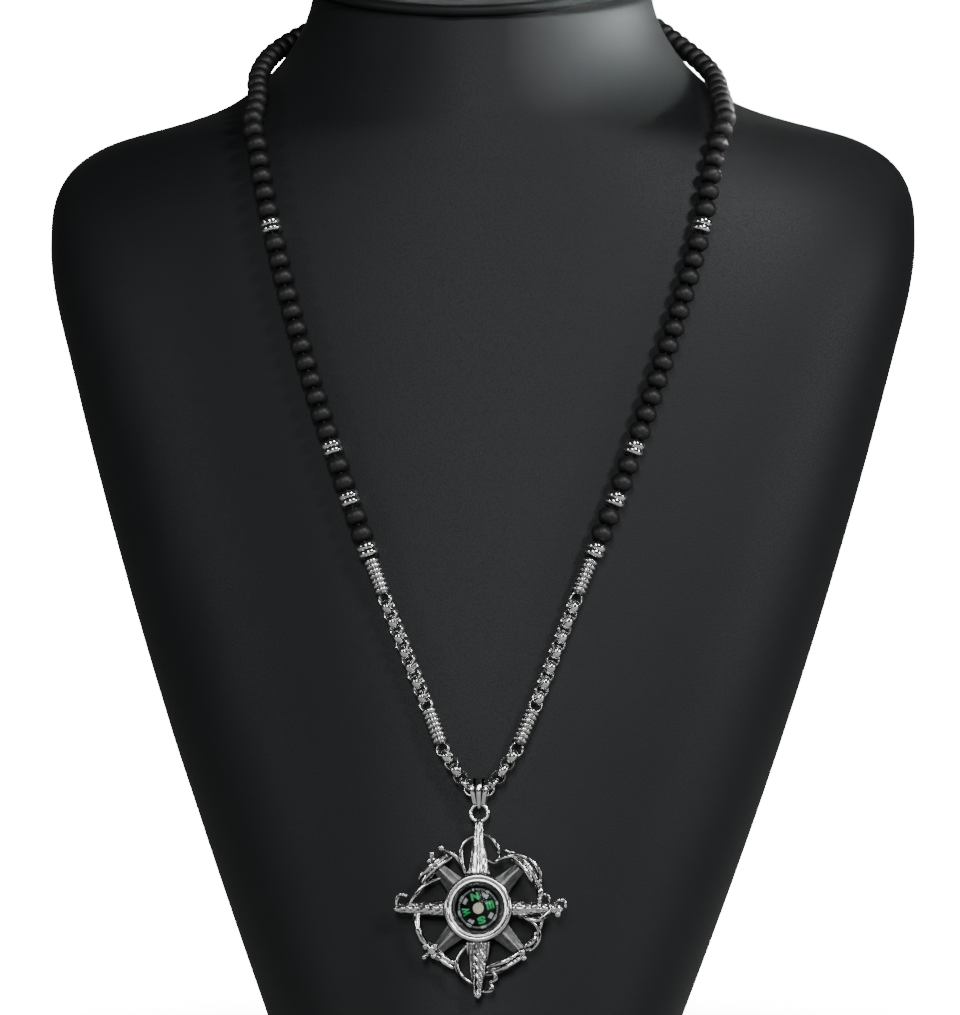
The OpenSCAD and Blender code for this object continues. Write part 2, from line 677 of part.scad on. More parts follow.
// A long point: a carved blade with a raised spine, from the hub to its tip along +Z. It starts low,
// under the bright rim. With a taper over 1 its base is flared, and below 1 its sides bulge.
point_overlap = 1.2;
under_rim = 1.6;
function blade_section(z, half, front, back) = [
    [-half, back, z], [-half, 0.1, z], [-half * 0.62, -front * 0.62, z], [-half * 0.22, -front, z],
    [half * 0.22, -front, z], [half * 0.62, -front * 0.62, z], [half, 0.1, z], [half, back, z]
];
module long_point(base_half, tip_half, reach, taper) {
    start = rim_radius - point_overlap;
    steps = 5;
    base_front = 2.3;
    base_back = 1.5;
    function blade_at(r, low) =
        let (t = (r - start) / (reach - start), half = tip_half + (base_half - tip_half) * (1 - t) ^ taper)
        blade_section(r, half, low ? under_rim : base_front - 1.1 * t, base_back - 0.7 * t);
    loft(concat(
        [blade_at(start, true), blade_at(rim_radius - 0.3, true)],
        [for (i = [0:steps]) blade_at(rim_radius + 0.2 + (reach - rim_radius - 0.2) * i / steps, false)]
    ));
    hull() {
        translate([0, 0.2, reach])
            sphere(r = tip_half * 0.9, $fn = 10);
        translate([0, -0.1, reach - 1.6])
            sphere(r = tip_half, $fn = 10);
    }
}
// A short point under the wreath, flat and low.
module short_point() {
    start = rim_radius - point_overlap;
    base_half = 2.9;
    tip_half = 1.45;
    hull() {
        translate([-base_half, 0.1, start])
            cube([2 * base_half, 1.2, 0.1]);
        translate([-base_half * 0.5, -0.5, start])
            cube([base_half, 1.8, 0.1]);
        translate([-tip_half, -0.35, wreath_radius - 0.5])
            cube([2 * tip_half, 1.2, 0.1]);
    }
}

// Sizes along the compass axis, to the front.
case_back = 0.4 - pendant_standoff;
case_floor = 0.6;
case_front = 1.9;
rim_middle_radius = rim_radius - rim_width / 2;
case_radius = rim_radius - rim_width + 0.05;
case_wall = 0.5;
hub_radius = rim_radius - 0.15;
hub_bore = case_radius + fit;
hub_back = -2.5;
hub_front = under_rim;

module pendant_frame() {
    color([0.62, 0.62, 0.61])
        at_pendant()
            union() {
                facing()
                    difference() {
                        translate([0, 0, hub_back])
                            cylinder(r = hub_radius, h = hub_front - hub_back, $fn = 48);
                        translate([0, 0, hub_back - 1])
                            cylinder(r = hub_bore, h = hub_front - hub_back + 2, $fn = 48);
                    }
                long_point(3.6, 1.15, point_reach, 1.5);
                rotate([0, 180, 0]) long_point(3.8, 1.25, point_reach - 0.6, 1.4);
                rotate([0, 90, 0]) long_point(2.3, 1.0, point_reach - 1.2, 0.7);
                rotate([0, -90, 0]) long_point(2.3, 1.0, point_reach - 1.2, 0.7);
                for (turn = [45:90:315])
                    rotate([0, turn, 0]) short_point();
                for (row = RODS)
                    twig(row, 8);
                for (row = TENDRILS)
                    twig(row, 6);
                for (bud = BUDS)
                    translate(polar(bud[0], wreath_radius * bud[1], bud[2]))
                        sphere(r = bud[3], $fn = 8);
                translate([0, 0, ring_height])
                    facing()
                        rotate_extrude($fn = 28)
                            translate([ring_radius, 0])
                                circle(r = ring_wire, $fn = 10);
            }
}

module compass_case() {
    color([0.9, 0.9, 0.9])
        at_pendant()
            facing()
                rotate_extrude($fn = arc_steps) {
                    polygon([
                        [0, case_back], [case_radius, case_back], [case_radius, case_front + 0.4],
                        [case_radius - case_wall, case_front + 0.4],
                        [case_radius - case_wall, case_back + case_floor], [0, case_back + case_floor]
                    ]);
                    translate([rim_middle_radius, case_front + rim_width / 2 - 0.1])
                        circle(r = rim_width / 2, $fn = arc_steps);
                }
}

capsule_radius = case_radius - case_wall - fit;
capsule_back = case_back + case_floor + 0.02;
capsule_front = 1.2;
well_radius = card_radius + card_clearance;
card_back = 0.1;
boss_depth = 0.6;
boss_radius = 0.9;
pin_hole_top = card_back + card_thickness / 2;
pivot_tip = pin_hole_top - fit;
capsule_floor = card_back - boss_depth - 0.5;

module compass_capsule() {
    color([0.12, 0.125, 0.13])
        at_pendant()
            facing()
                rotate_extrude($fn = arc_steps)
                    polygon([
                        [0, capsule_back], [capsule_radius, capsule_back], [capsule_radius, capsule_front],
                        [well_radius + 0.25, capsule_front], [well_radius, capsule_front - 0.25],
                        [well_radius, capsule_floor], [pivot_radius * 2, capsule_floor],
                        [pivot_radius, capsule_floor + 0.3], [pivot_radius, pivot_tip], [0, pivot_tip]
                    ]);
}

module compass_card() {
    color([0.04, 0.04, 0.045])
        at_pendant()
            facing()
                rotate_extrude($fn = arc_steps)
                    polygon([
                        [0, pin_hole_top], [pivot_radius + fit, pin_hole_top],
                        [pivot_radius + fit, card_back - boss_depth], [boss_radius, card_back - boss_depth],
                        [boss_radius, card_back], [card_radius, card_back],
                        [card_radius, card_back + card_thickness], [0, card_back + card_thickness]
                    ]);
}

module card_cap() {
    seat = card_back + card_thickness;
    rise = 0.55;
    color([0.93, 0.9, 0.74])
        at_pendant()
            facing()
                rotate_extrude($fn = arc_steps)
                    polygon([
                        [0, seat], [cap_radius, seat], [cap_radius, seat + 0.5 * rise],
                        [cap_radius * 0.8, seat + 0.85 * rise], [cap_radius * 0.5, seat + rise],
                        [0, seat + rise]
                    ]);
}

module crystal() {
    seat = capsule_front + 0.05;
    thick = 0.6;
    radius = capsule_radius;
    ball = (radius ^ 2 + glass_dome ^ 2) / (2 * glass_dome);
    color([0.85, 0.9, 0.92, 0.4])
        at_pendant()
            facing()
                rotate_extrude($fn = arc_steps)
                    intersection() {
                        translate([0, seat + thick + glass_dome - ball])
                            circle(r = ball, $fn = 16 * arc_steps);
                        translate([0, seat])
                            square([radius, thick + 2 * glass_dome]);
                    }
}

neck_bust();
neck_cap();
bead_thread();
nape_clasp();
black_beads(LEFT);  // black_beads_left
black_beads(RIGHT);  // black_beads_right
steel_beads(LEFT);  // steel_beads_left
steel_beads(RIGHT);  // steel_beads_right
upper_bar(LEFT);  // upper_bar_left
upper_bar(RIGHT);  // upper_bar_right
lower_bar(LEFT);  // lower_bar_left
lower_bar(RIGHT);  // lower_bar_right
side_chain(LEFT);  // chain_left
side_chain(RIGHT);  // chain_right
chain_centre();
bail();
pendant_frame();
compass_case();
compass_capsule();
compass_card();
card_cap();
crystal();
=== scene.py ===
"""Dresses the compass pendant: finishes, carved metalwork, printed dial, bust cover, lights and camera."""

import logging
import math
from contextlib import contextmanager
from dataclasses import dataclass, field
from enum import Enum
from typing import Callable, Iterator, Sequence

import bpy
import numpy
from mathutils import Matrix, Vector, noise

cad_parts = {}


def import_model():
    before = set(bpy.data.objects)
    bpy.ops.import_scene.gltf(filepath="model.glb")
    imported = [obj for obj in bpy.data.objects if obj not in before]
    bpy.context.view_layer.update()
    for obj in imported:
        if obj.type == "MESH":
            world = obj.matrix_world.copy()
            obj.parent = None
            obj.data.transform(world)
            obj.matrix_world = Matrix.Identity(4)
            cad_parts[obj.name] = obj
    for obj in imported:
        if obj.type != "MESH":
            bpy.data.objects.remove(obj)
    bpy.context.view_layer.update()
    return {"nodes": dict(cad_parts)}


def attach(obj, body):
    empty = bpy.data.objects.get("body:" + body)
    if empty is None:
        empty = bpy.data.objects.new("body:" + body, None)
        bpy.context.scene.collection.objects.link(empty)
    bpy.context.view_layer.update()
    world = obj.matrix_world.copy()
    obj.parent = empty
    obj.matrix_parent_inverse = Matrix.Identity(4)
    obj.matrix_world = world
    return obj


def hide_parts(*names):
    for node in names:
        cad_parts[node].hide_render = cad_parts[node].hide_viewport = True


log = logging.getLogger("compass_pendant")

Piece = bpy.types.Object
Node = bpy.types.Node
Tree = bpy.types.NodeTree
Triple = tuple[float, float, float]

MM = 0.001
PHOTO_HEIGHT = 1015
CAD_MERGE = 0.00002
SKIN_MERGE = 0.000002
WHITE = (1.0, 1.0, 1.0, 1.0)
# The colour sockets of a Mix node, which share their names with its other sockets.
MIX_FIRST, MIX_SECOND, MIX_RESULT = 6, 7, 2


class Body(Enum):
    """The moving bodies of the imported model."""

    BUST = "bust_and_string"
    BAIL = "hanger"
    PENDANT = "pendant"
    CARD = "card"


class Slot(Enum):
    """Names of material slots."""

    BUST = "bust_cover"
    CAP = "cap_cover"
    STEEL = "polished_steel"
    ANTIQUED = "antiqued_steel"
    DIAL = "card_black"


class Kind(Enum):
    """How a long point is carved."""

    BARK = "bark"
    ROPE = "rope"
    FEATHER = "feather"


@dataclass(frozen=True)
class Lie:
    """Where the pendant hangs: the place of its middle and the bust's lean."""

    x: float = 4.0
    y: float = -50.67
    z: float = 48.3
    lean: float = 10.0

    def matrix(self) -> Matrix:
        """The pendant's own frame: up along the bust, depth into it.

        Returns:
            From that frame to the part's, in metres.
        """
        turn = Matrix.Rotation(math.radians(-self.lean), 4, "X")
        return Matrix.Translation(Vector((self.x, self.y, self.z)) * MM) @ turn


def clamp(value: float) -> float:
    """Keeps a value between 0 and 1.

    Args:
        value: Any value.

    Returns:
        The value, or the nearer of 0 and 1.
    """
    return min(max(value, 0.0), 1.0)


def signed_power(value: float, power: float) -> float:
    """Raises a value's size to a power and keeps its sign.

    Args:
        value: The value.
        power: The power.

    Returns:
        The result, with the value's sign.
    """
    return math.copysign(abs(value) ** power, value)


class Bench:
    """Small helpers round Blender's operators, one piece at a time."""

    @staticmethod
    def clear() -> None:
        """Leaves edit mode and deselects everything."""
        if bpy.context.object and bpy.context.object.mode != "OBJECT":
            bpy.ops.object.mode_set(mode="OBJECT")
        bpy.ops.object.select_all(action="DESELECT")

    @staticmethod
    def pick(*pieces: Piece) -> None:
        """Selects pieces and makes the first one active.

        Args:
            pieces: The objects to select.
        """
        Bench.clear()
        for piece in pieces:
            piece.select_set(True)
        bpy.context.view_layer.objects.active = pieces[0]

    @staticmethod
    @contextmanager
    def editing() -> Iterator[None]:
        """Edit mode on the active piece, and object mode again afterwards."""
        bpy.ops.object.mode_set(mode="EDIT")
        yield
        bpy.ops.object.mode_set(mode="OBJECT")

    @staticmethod
    def made(name: str) -> Piece:
        """Names the mesh that an operator has just added and applies its place and turn.

        Args:
            name: The piece's name.

        Returns:
            The piece.
        """
        piece = bpy.context.object
        piece.name = name
        bpy.ops.object.transform_apply(location=True, rotation=True, scale=True)
        return piece

    @staticmethod
    def apply_modifiers(piece: Piece) -> None:
        """Applies every modifier of a piece, in order.

        Args:
            piece: The mesh object.
        """
        Bench.pick(piece)
        for modifier in list(piece.modifiers):
            bpy.ops.object.modifier_apply(modifier=modifier.name)

    @staticmethod
    def join(name: str, pieces: Sequence[Piece]) -> Piece:
        """Joins meshes into one named piece.

        Args:
            name: The new name.
            pieces: The meshes, the first of which is kept.

        Returns:
            The joined object.
        """
        Bench.pick(*pieces)
        if len(pieces) > 1:
            bpy.ops.object.join()
        piece = bpy.context.object
        piece.name = name
        piece.data.name = name
        return piece

    @staticmethod
    def place(piece: Piece, matrix: Matrix) -> None:
        """Puts a mesh made in millimetres in its place and leaves its object at the origin.

        Args:
            piece: The mesh object, made in its own frame.
            matrix: From that frame to the part's, in metres.
        """
        piece.data.transform(matrix @ Matrix.Scale(MM, 4) @ piece.matrix_world)
        piece.matrix_world = Matrix.Identity(4)

    @staticmethod
    def smooth(piece: Piece, angle: float) -> None:
        """Shades a piece smooth below an angle.

        Args:
            piece: The mesh object.
            angle: In degrees.
        """
        Bench.pick(piece)
        bpy.ops.object.shade_smooth_by_angle(angle=math.radians(angle))

    @staticmethod
    def fix_normals(piece: Piece, merge: float) -> None:
        """Merges doubles and turns all faces outwards.

        Args:
            piece: The mesh object.
            merge: Greatest distance of points that become one, in the mesh's own unit.
        """
        Bench.pick(piece)
        with Bench.editing():
            bpy.ops.mesh.select_all(action="SELECT")
            bpy.ops.mesh.remove_doubles(threshold=merge)
            bpy.ops.mesh.normals_make_consistent(inside=False)

    @staticmethod
    def carving(piece: Piece, height: float = 0.0) -> bpy.types.Attribute:
        """The point attribute that tells how high the carving stands, from 0 in a recess to 1 on a ridge.

        Args:
            piece: The mesh object.
            height: The value that all its points start from.

        Returns:
            The attribute.
        """
        mesh = piece.data
        found = mesh.attributes.get("carve") or mesh.attributes.new("carve", "FLOAT", "POINT")
        for point in found.data:
            point.value = height
        return found

    @staticmethod
    def merged_copy(node: Piece, name: str) -> Piece:
        """A copy of a CAD node whose loose triangles are merged into one skin.

        Args:
            node: The CAD node.
            name: The copy's name.

        Returns:
            The copy.
        """
        copy = bpy.data.objects.new(name, node.data.copy())
        bpy.context.scene.collection.objects.link(copy)
        copy.data.materials.clear()
        Bench.pick(copy)
        if copy.data.has_custom_normals:
            bpy.ops.mesh.customdata_custom_splitnormals_clear()
        Bench.fix_normals(copy, CAD_MERGE)
        return copy


class Tube:
    """A closed tube of even rings, laid along any run by a function of turn and share."""

    Shape = Callable[[float, float], tuple[Vector, float]]

    @staticmethod
    def add(name: str, sides: int, rings: int) -> Piece:
        """Adds a straight tube, 1 long and 1 in radius, with rings cut into its side.

        Args:
            name: The piece's name.
            sides: Vertices round it.
            rings: Rings between its ends.

        Returns:
            The tube, standing on the origin.
        """
        Bench.clear()
        bpy.ops.mesh.primitive_cylinder_add(vertices=sides, radius=1.0, depth=1.0, location=(0.0, 0.0, 0.5))
        piece = Bench.made(name)
        with Bench.editing():
            bpy.ops.mesh.select_mode(type="EDGE")
            bpy.ops.mesh.select_all(action="DESELECT")
        vertices = piece.data.vertices
        for edge in piece.data.edges:
            ends = [vertices[i].co.z for i in edge.vertices]
            edge.select = abs(ends[0] - ends[1]) > 0.5
        with Bench.editing():
            bpy.ops.mesh.subdivide(number_cuts=rings)
        return piece

    @staticmethod
    def lay(piece: Piece, shape: "Tube.Shape") -> None:
        """Moves each point of a tube to its place and notes how high the carving stands there.

        Args:
            piece: The straight tube.
            shape: Gives the place, in millimetres, and the carving's height from 0 to 1,
                for a turn in radians and a share of the length.
        """
        mesh = piece.data
        carve = Bench.carving(piece)
        for i, vertex in enumerate(mesh.vertices):
            place, height = shape(math.atan2(vertex.co.y, vertex.co.x), vertex.co.z)
            vertex.co = place
            carve.data[i].value = height
        mesh.update()


class Graph:
    """A thin builder over a node tree."""

    def __init__(self, tree: Tree) -> None:
        """Keeps the tree.

        Args:
            tree: The node tree to fill.
        """
        self.tree = tree

    @property
    def shader(self) -> Node:
        """The material's Principled shader."""
        return self.tree.nodes["Principled BSDF"]

    def shade(self, values: dict[str, object]) -> None:
        """Sets inputs of the material's shader.

        Args:
            values: Input values by socket name.
        """
        for name, value in values.items():
            self.shader.inputs[name].default_value = value

    def add(self, kind: str, values: dict[str | int, object] | None = None, **settings: object) -> Node:
        """Adds a node.

        Args:
            kind: Blender's node type.
            values: Input values by socket name or number.
            settings: Properties of the node.

        Returns:
            The node.
        """
        node = self.tree.nodes.new(kind)
        for name, value in settings.items():
            setattr(node, name, value)
        for name, value in (values or {}).items():
            node.inputs[name].default_value = value
        return node

    def group(self, tree: Tree, scale: float) -> Node:
        """Places a shared node group.

        Args:
            tree: The group.
            scale: Its input Scale.

        Returns:
            The group node.
        """
        return self.add("ShaderNodeGroup", {"Scale": scale}, node_tree=tree)

    def link(self, source: Node, out: str | int, target: Node, into: str | int) -> None:
        """Links two sockets.

        Args:
            source: The giving node.
            out: Its output.
            target: The taking node.
            into: Its input.
        """
        self.tree.links.new(source.outputs[out], target.inputs[into])

    def ramp(self, source: Node, out: str | int, low: Sequence[float], high: Sequence[float],
             start: float = 0.0, end: float = 1.0) -> Node:
        """A colour ramp between two colours.

        Args:
            source: The node that gives the factor.
            out: Its output.
            low: Colour at the start.
            high: Colour at the end.
            start: Place of the first colour.
            end: Place of the second colour.

        Returns:
            The ramp node.
        """
        node = self.add("ShaderNodeValToRGB")
        for stop, place, colour in zip(node.color_ramp.elements, (start, end), (low, high)):
            stop.position = place
            stop.color = (*colour, 1.0)
        self.link(source, out, node, "Fac")
        return node

    def base_colour(self, source: Node, out: str | int, low: Sequence[float], high: Sequence[float],
                    start: float = 0.0, end: float = 1.0) -> None:
        """Gives the shader a base colour between two colours.

        Args:
            source: The node that gives the factor.
            out: Its output.
            low: Colour at the start.
            high: Colour at the end.
            start: Factor of the first colour.
            end: Factor of the second colour.
        """
        self.link(self.ramp(source, out, low, high, start, end), "Color", self.shader, "Base Color")

    def rough(self, source: Node, out: str | int, low: float, high: float,
              start: float = 0.0, end: float = 1.0) -> None:
        """Gives the shader a roughness between two values.

        Args:
            source: The node that gives the factor.
            out: Its output.
            low: Roughness at the start.
            high: Roughness at the end.
            start: Factor of the first value.
            end: Factor of the second value.
        """
        values = {"From Min": start, "From Max": end, "To Min": low, "To Max": high}
        node = self.add("ShaderNodeMapRange", values)
        self.link(source, out, node, "Value")
        self.link(node, "Result", self.shader, "Roughness")

    def bump(self, source: Node, out: str | int, distance: float, strength: float) -> None:
        """Gives the shader a relief.

        Args:
            source: The node that gives the height.
            out: Its output.
            distance: Height in metres.
            strength: From 0 to 1.
        """
        node = self.add("ShaderNodeBump", {"Distance": distance, "Strength": strength})
        self.link(source, out, node, "Height")
        self.link(node, "Normal", self.shader, "Normal")


class Groups:
    """Shader node groups that several finishes share. Each is built once."""

    _built: dict[str, Tree] = {}

    @classmethod
    def get(cls, name: str, build: Callable[[Tree], None]) -> Tree:
        """Returns a node group, building it the first time.

        Args:
            name: The group's name.
            build: Fills the new tree.

        Returns:
            The node group.
        """
        if name not in cls._built:
            tree = bpy.data.node_groups.new(name, "ShaderNodeTree")
            build(tree)
            cls._built[name] = tree
        return cls._built[name]

    @staticmethod
    def begin(tree: Tree, scale: float, outputs: Sequence[str]) -> tuple[Graph, Node, Node]:
        """Gives a group its sockets, the input Scale among them, and starts its graph.

        Args:
            tree: The group.
            scale: Default value of Scale.
            outputs: Names of the outputs.

        Returns:
            The graph, the group's input node and a texture coordinate node.
        """
        made = tree.interface.new_socket(name="Scale", in_out="INPUT", socket_type="NodeSocketFloat")
        made.default_value = scale
        for name in outputs:
            tree.interface.new_socket(name=name, in_out="OUTPUT", socket_type="NodeSocketFloat")
        graph = Graph(tree)
        return graph, graph.add("NodeGroupInput"), graph.add("ShaderNodeTexCoord")

    @classmethod
    def pebbles(cls) -> Tree:
        """Leather grain: rounded pebbles with creases between them.

        Returns:
            A group with the input Scale and outputs Height and Crease.
        """

        def build(tree: Tree) -> None:
            """Fills the pebble group."""
            g, source, place = cls.begin(tree, 900.0, ("Height", "Crease"))
            warp = g.add("ShaderNodeTexNoise", {"Scale": 260.0, "Detail": 0.0})
            g.link(place, "Object", warp, "Vector")
            mix = g.add("ShaderNodeVectorMath", {1: (0.0012, 0.0012, 0.0012)}, operation="MULTIPLY_ADD")
            g.link(warp, "Color", mix, 0)
            g.link(place, "Object", mix, 2)
            cells = g.add("ShaderNodeTexVoronoi", feature="F1")
            g.link(mix, 0, cells, "Vector")
            g.link(source, "Scale", cells, "Scale")
            falling = {"From Min": 0.05, "From Max": 0.62, "To Min": 1.0, "To Max": 0.0}
            rise = g.add("ShaderNodeMapRange", falling)
            g.link(cells, "Distance", rise, "Value")
            crease = g.add("ShaderNodeMapRange", {"From Min": 0.45, "From Max": 0.7})
            g.link(cells, "Distance", crease, "Value")
            out = g.add("NodeGroupOutput")
            g.link(rise, "Result", out, "Height")
            g.link(crease, "Result", out, "Crease")

        return cls.get("leather_pebbles", build)

    @classmethod
    def wear(cls) -> Tree:
        """Painted shade for the recesses of metal: a mask from the surface's own pointiness, broken up by
        noise.

        Returns:
            A group with the input Scale and the output Recess.
        """

        def build(tree: Tree) -> None:
            """Fills the recess shade group."""
            g, source, place = cls.begin(tree, 900.0, ("Recess",))
            grain = g.add("ShaderNodeTexNoise", {"Detail": 2.0})
            g.link(place, "Object", grain, "Vector")
            g.link(source, "Scale", grain, "Scale")
            shape = g.add("ShaderNodeNewGeometry")
            jitter = g.add("ShaderNodeMath", {1: 0.06}, operation="MULTIPLY_ADD")
            g.link(grain, "Fac", jitter, 0)
            g.link(shape, "Pointiness", jitter, 2)
            # The more hollow the surface, the higher Recess: the mask of the painted shade.
            falling = {"From Min": 0.43, "From Max": 0.53, "To Min": 1.0, "To Max": 0.0}
            recess = g.add("ShaderNodeMapRange", falling)
            g.link(jitter, 0, recess, "Value")
            g.link(recess, "Result", g.add("NodeGroupOutput"), "Recess")

        return cls.get("metal_wear", build)

    @classmethod
    def mottle(cls) -> Tree:
        """Uneven tone and fine scratches, for metal and plastic.

        Returns:
            A group with the input Scale and outputs Tone and Scratch.
        """

        def build(tree: Tree) -> None:
            """Fills the mottle group."""
            g, source, place = cls.begin(tree, 400.0, ("Tone", "Scratch"))
            tone = g.add("ShaderNodeTexNoise", {"Detail": 3.0, "Roughness": 0.6})
            g.link(place, "Object", tone, "Vector")
            g.link(source, "Scale", tone, "Scale")
            stretch = g.add("ShaderNodeMapping", {"Scale": (9.0, 9.0, 0.6), "Rotation": (0.3, 0.5, 0.2)})
            g.link(place, "Object", stretch, "Vector")
            scratch = g.add("ShaderNodeTexNoise", {"Detail": 1.0})
            g.link(stretch, "Vector", scratch, "Vector")
            g.link(source, "Scale", scratch, "Scale")
            out = g.add("NodeGroupOutput")
            g.link(tone, "Fac", out, "Tone")
            g.link(scratch, "Fac", out, "Scratch")

        return cls.get("mottle", build)


class Finish:
    """Base of all finishes: a named material with one Principled shader."""

    name: str

    def material(self) -> bpy.types.Material:
        """Builds the material once.

        Returns:
            The material.
        """
        found = bpy.data.materials.get(self.name)
        if found:
            return found
        made = bpy.data.materials.new(self.name)
        made.use_nodes = True
        self.dress(Graph(made.node_tree))
        return made

    def dress(self, graph: Graph) -> None:
        """Adds the finish's own nodes.

        Args:
            graph: The material's graph.
        """
        raise NotImplementedError

    def put_on(self, *pieces: Piece) -> None:
        """Gives the finish to pieces.

        Args:
            pieces: The objects.
        """
        material = self.material()
        for piece in pieces:
            piece.data.materials.clear()
            piece.data.materials.append(material)


@dataclass(frozen=True)
class Leatherette(Finish):
    """Black leatherette with a fine pebble grain and a soft sheen."""

    name: str = "black_leatherette"
    tone: Triple = (0.0088, 0.0094, 0.0102)
    light_tone: Triple = (0.0105, 0.0112, 0.012)
    patches: float = 45.0
    grain: float = 2000.0
    relief: float = 0.00006

    def dress(self, graph: Graph) -> None:
        """Adds grain, tone and sheen."""
        pebbles = graph.group(Groups.pebbles(), self.grain)
        tone = graph.group(Groups.mottle(), self.patches)
        graph.base_colour(tone, "Tone", self.tone, self.light_tone, 0.3, 0.75)
        graph.rough(pebbles, "Crease", 0.5, 0.56)
        graph.bump(pebbles, "Height", self.relief, 0.2)
        graph.shade({"Specular IOR Level": 0.3, "Specular Tint": (0.93, 0.98, 1.0, 1.0),
                     "Sheen Weight": 0.03, "Sheen Roughness": 0.4})


@dataclass(frozen=True)
class MatteStone(Finish):
    """Frosted black beads."""

    name: str = "frosted_black_stone"
    tone: Triple = (0.006, 0.006, 0.0065)
    light_tone: Triple = (0.012, 0.012, 0.0125)
    grain: float = 1500.0
    relief: float = 0.00006

    def dress(self, graph: Graph) -> None:
        """Adds frosting and slight specks."""
        tone = graph.group(Groups.mottle(), self.grain)
        graph.base_colour(tone, "Tone", self.tone, self.light_tone, 0.35, 0.75)
        graph.rough(tone, "Scratch", 0.42, 0.56)
        graph.bump(tone, "Tone", self.relief, 0.4)
        graph.shade({"Specular IOR Level": 0.5})


@dataclass(frozen=True)
class Steel(Finish):
    """Polished stainless steel with painted shade darkening its recesses."""

    name: str = "polished_stainless"
    bright: Triple = (0.86, 0.86, 0.85)
    dark: Triple = (0.55, 0.55, 0.55)
    rough: float = 0.12
    # black: how strongly the painted shade darkens the recesses.
    black: float = 0.4
    grain: float = 900.0
    relief: float = 0.000004
    soot: Triple = (0.018, 0.018, 0.018)

    def dress(self, graph: Graph) -> None:
        """Adds tone, painted shade in the recesses, scratches and relief."""
        mottle = graph.group(Groups.mottle(), self.grain)
        wear = graph.group(Groups.wear(), self.grain * 1.4)
        colour = graph.ramp(mottle, "Tone", self.dark, self.bright, 0.28, 0.6)
        # Painted shade: the recess mask mixes the base colour towards a near-black shade colour.
        shade = graph.add("ShaderNodeMath", {1: self.black}, operation="MULTIPLY")
        graph.link(wear, "Recess", shade, 0)
        mix = graph.add("ShaderNodeMix", {MIX_SECOND: (*self.soot, 1.0)}, data_type="RGBA")
        graph.link(shade, 0, mix, "Factor")
        graph.link(colour, "Color", mix, MIX_FIRST)
        graph.link(mix, MIX_RESULT, graph.shader, "Base Color")
        graph.rough(mottle, "Scratch", self.rough * 0.7, self.rough * 1.6)
        graph.bump(mottle, "Tone", self.relief, 0.6)
        graph.shade({"Metallic": 1.0})


@dataclass(frozen=True)
class CarvedSteel(Finish):
    """Antiqued steel whose carving is blackened in its recesses and polished on its ridges; on the steel bars
    the same darkening of the grooves between the ribs is painted shade.
    """

    name: str = "carved_antiqued_steel"
    bright: Triple = (0.92, 0.92, 0.91)
    dark: Triple = (0.01, 0.01, 0.01)
    rough: float = 0.15
    grain: float = 1500.0
    relief: float = 0.00004

    def dress(self, graph: Graph) -> None:
        """Adds the blackening by the carving's height, and a fine cast grain."""
        carve = graph.add("ShaderNodeAttribute", attribute_name="carve")
        mottle = graph.group(Groups.mottle(), self.grain)
        uneven = graph.add("ShaderNodeMath", {1: 0.09}, operation="MULTIPLY_ADD")
        graph.link(mottle, "Tone", uneven, 0)
        graph.link(carve, "Fac", uneven, 2)
        graph.base_colour(uneven, 0, self.dark, self.bright, 0.25, 0.68)
        graph.rough(uneven, 0, self.rough * 2.4, self.rough, 0.2, 0.8)
        graph.bump(mottle, "Tone", self.relief, 0.5)
        graph.shade({"Metallic": 1.0})


@dataclass(frozen=True)
class Plastic(Finish):
    """Moulded, printed or waxed stuff with slight mottling."""

    name: str
    tone: Triple
    light_tone: Triple
    rough: float = 0.42
    gloss: float = 0.5
    grain: float = 700.0

    def dress(self, graph: Graph) -> None:
        """Adds slight mottling."""
        tone = graph.group(Groups.mottle(), self.grain)
        graph.base_colour(tone, "Tone", self.tone, self.light_tone, 0.3, 0.7)
        graph.rough(tone, "Scratch", self.rough * 0.8, self.rough * 1.25)
        graph.shade({"Specular IOR Level": self.gloss})


@dataclass(frozen=True)
class Glow(Finish):
    """Luminous green print."""

    name: str = "luminous_green"
    tone: Triple = (0.0, 0.36, 0.08)
    light_tone: Triple = (0.03, 0.62, 0.2)
    grain: float = 2500.0

    def dress(self, graph: Graph) -> None:
        """Adds print grain."""
        tone = graph.group(Groups.mottle(), self.grain)
        graph.base_colour(tone, "Tone", self.tone, self.light_tone, 0.3, 0.7)
        graph.shade({"Roughness": 0.6})


@dataclass(frozen=True)
class Glass(Finish):
    """Clear glass of the compass."""

    name: str = "clear_glass"
    tint: Triple = (0.96, 0.98, 0.98)
    index: float = 1.12
    grain: float = 300.0

    def dress(self, graph: Graph) -> None:
        """Adds faint smears."""
        tone = graph.group(Groups.mottle(), self.grain)
        graph.rough(tone, "Tone", 0.0, 0.01)
        graph.shade({"Base Color": (*self.tint, 1.0), "Transmission Weight": 1.0, "IOR": self.index})


# For each steel, black is how far the painted shade darkens its recesses.
POLISHED = Steel()
LINK_STEEL = Steel("link_stainless", bright=(0.9, 0.9, 0.89), dark=(0.6, 0.6, 0.6), rough=0.15, black=0.3)
RIM_STEEL = Steel("rim_stainless", bright=(0.88, 0.88, 0.87), dark=(0.6, 0.6, 0.6), rough=0.14, black=0.3)
CAST_STEEL = CarvedSteel()
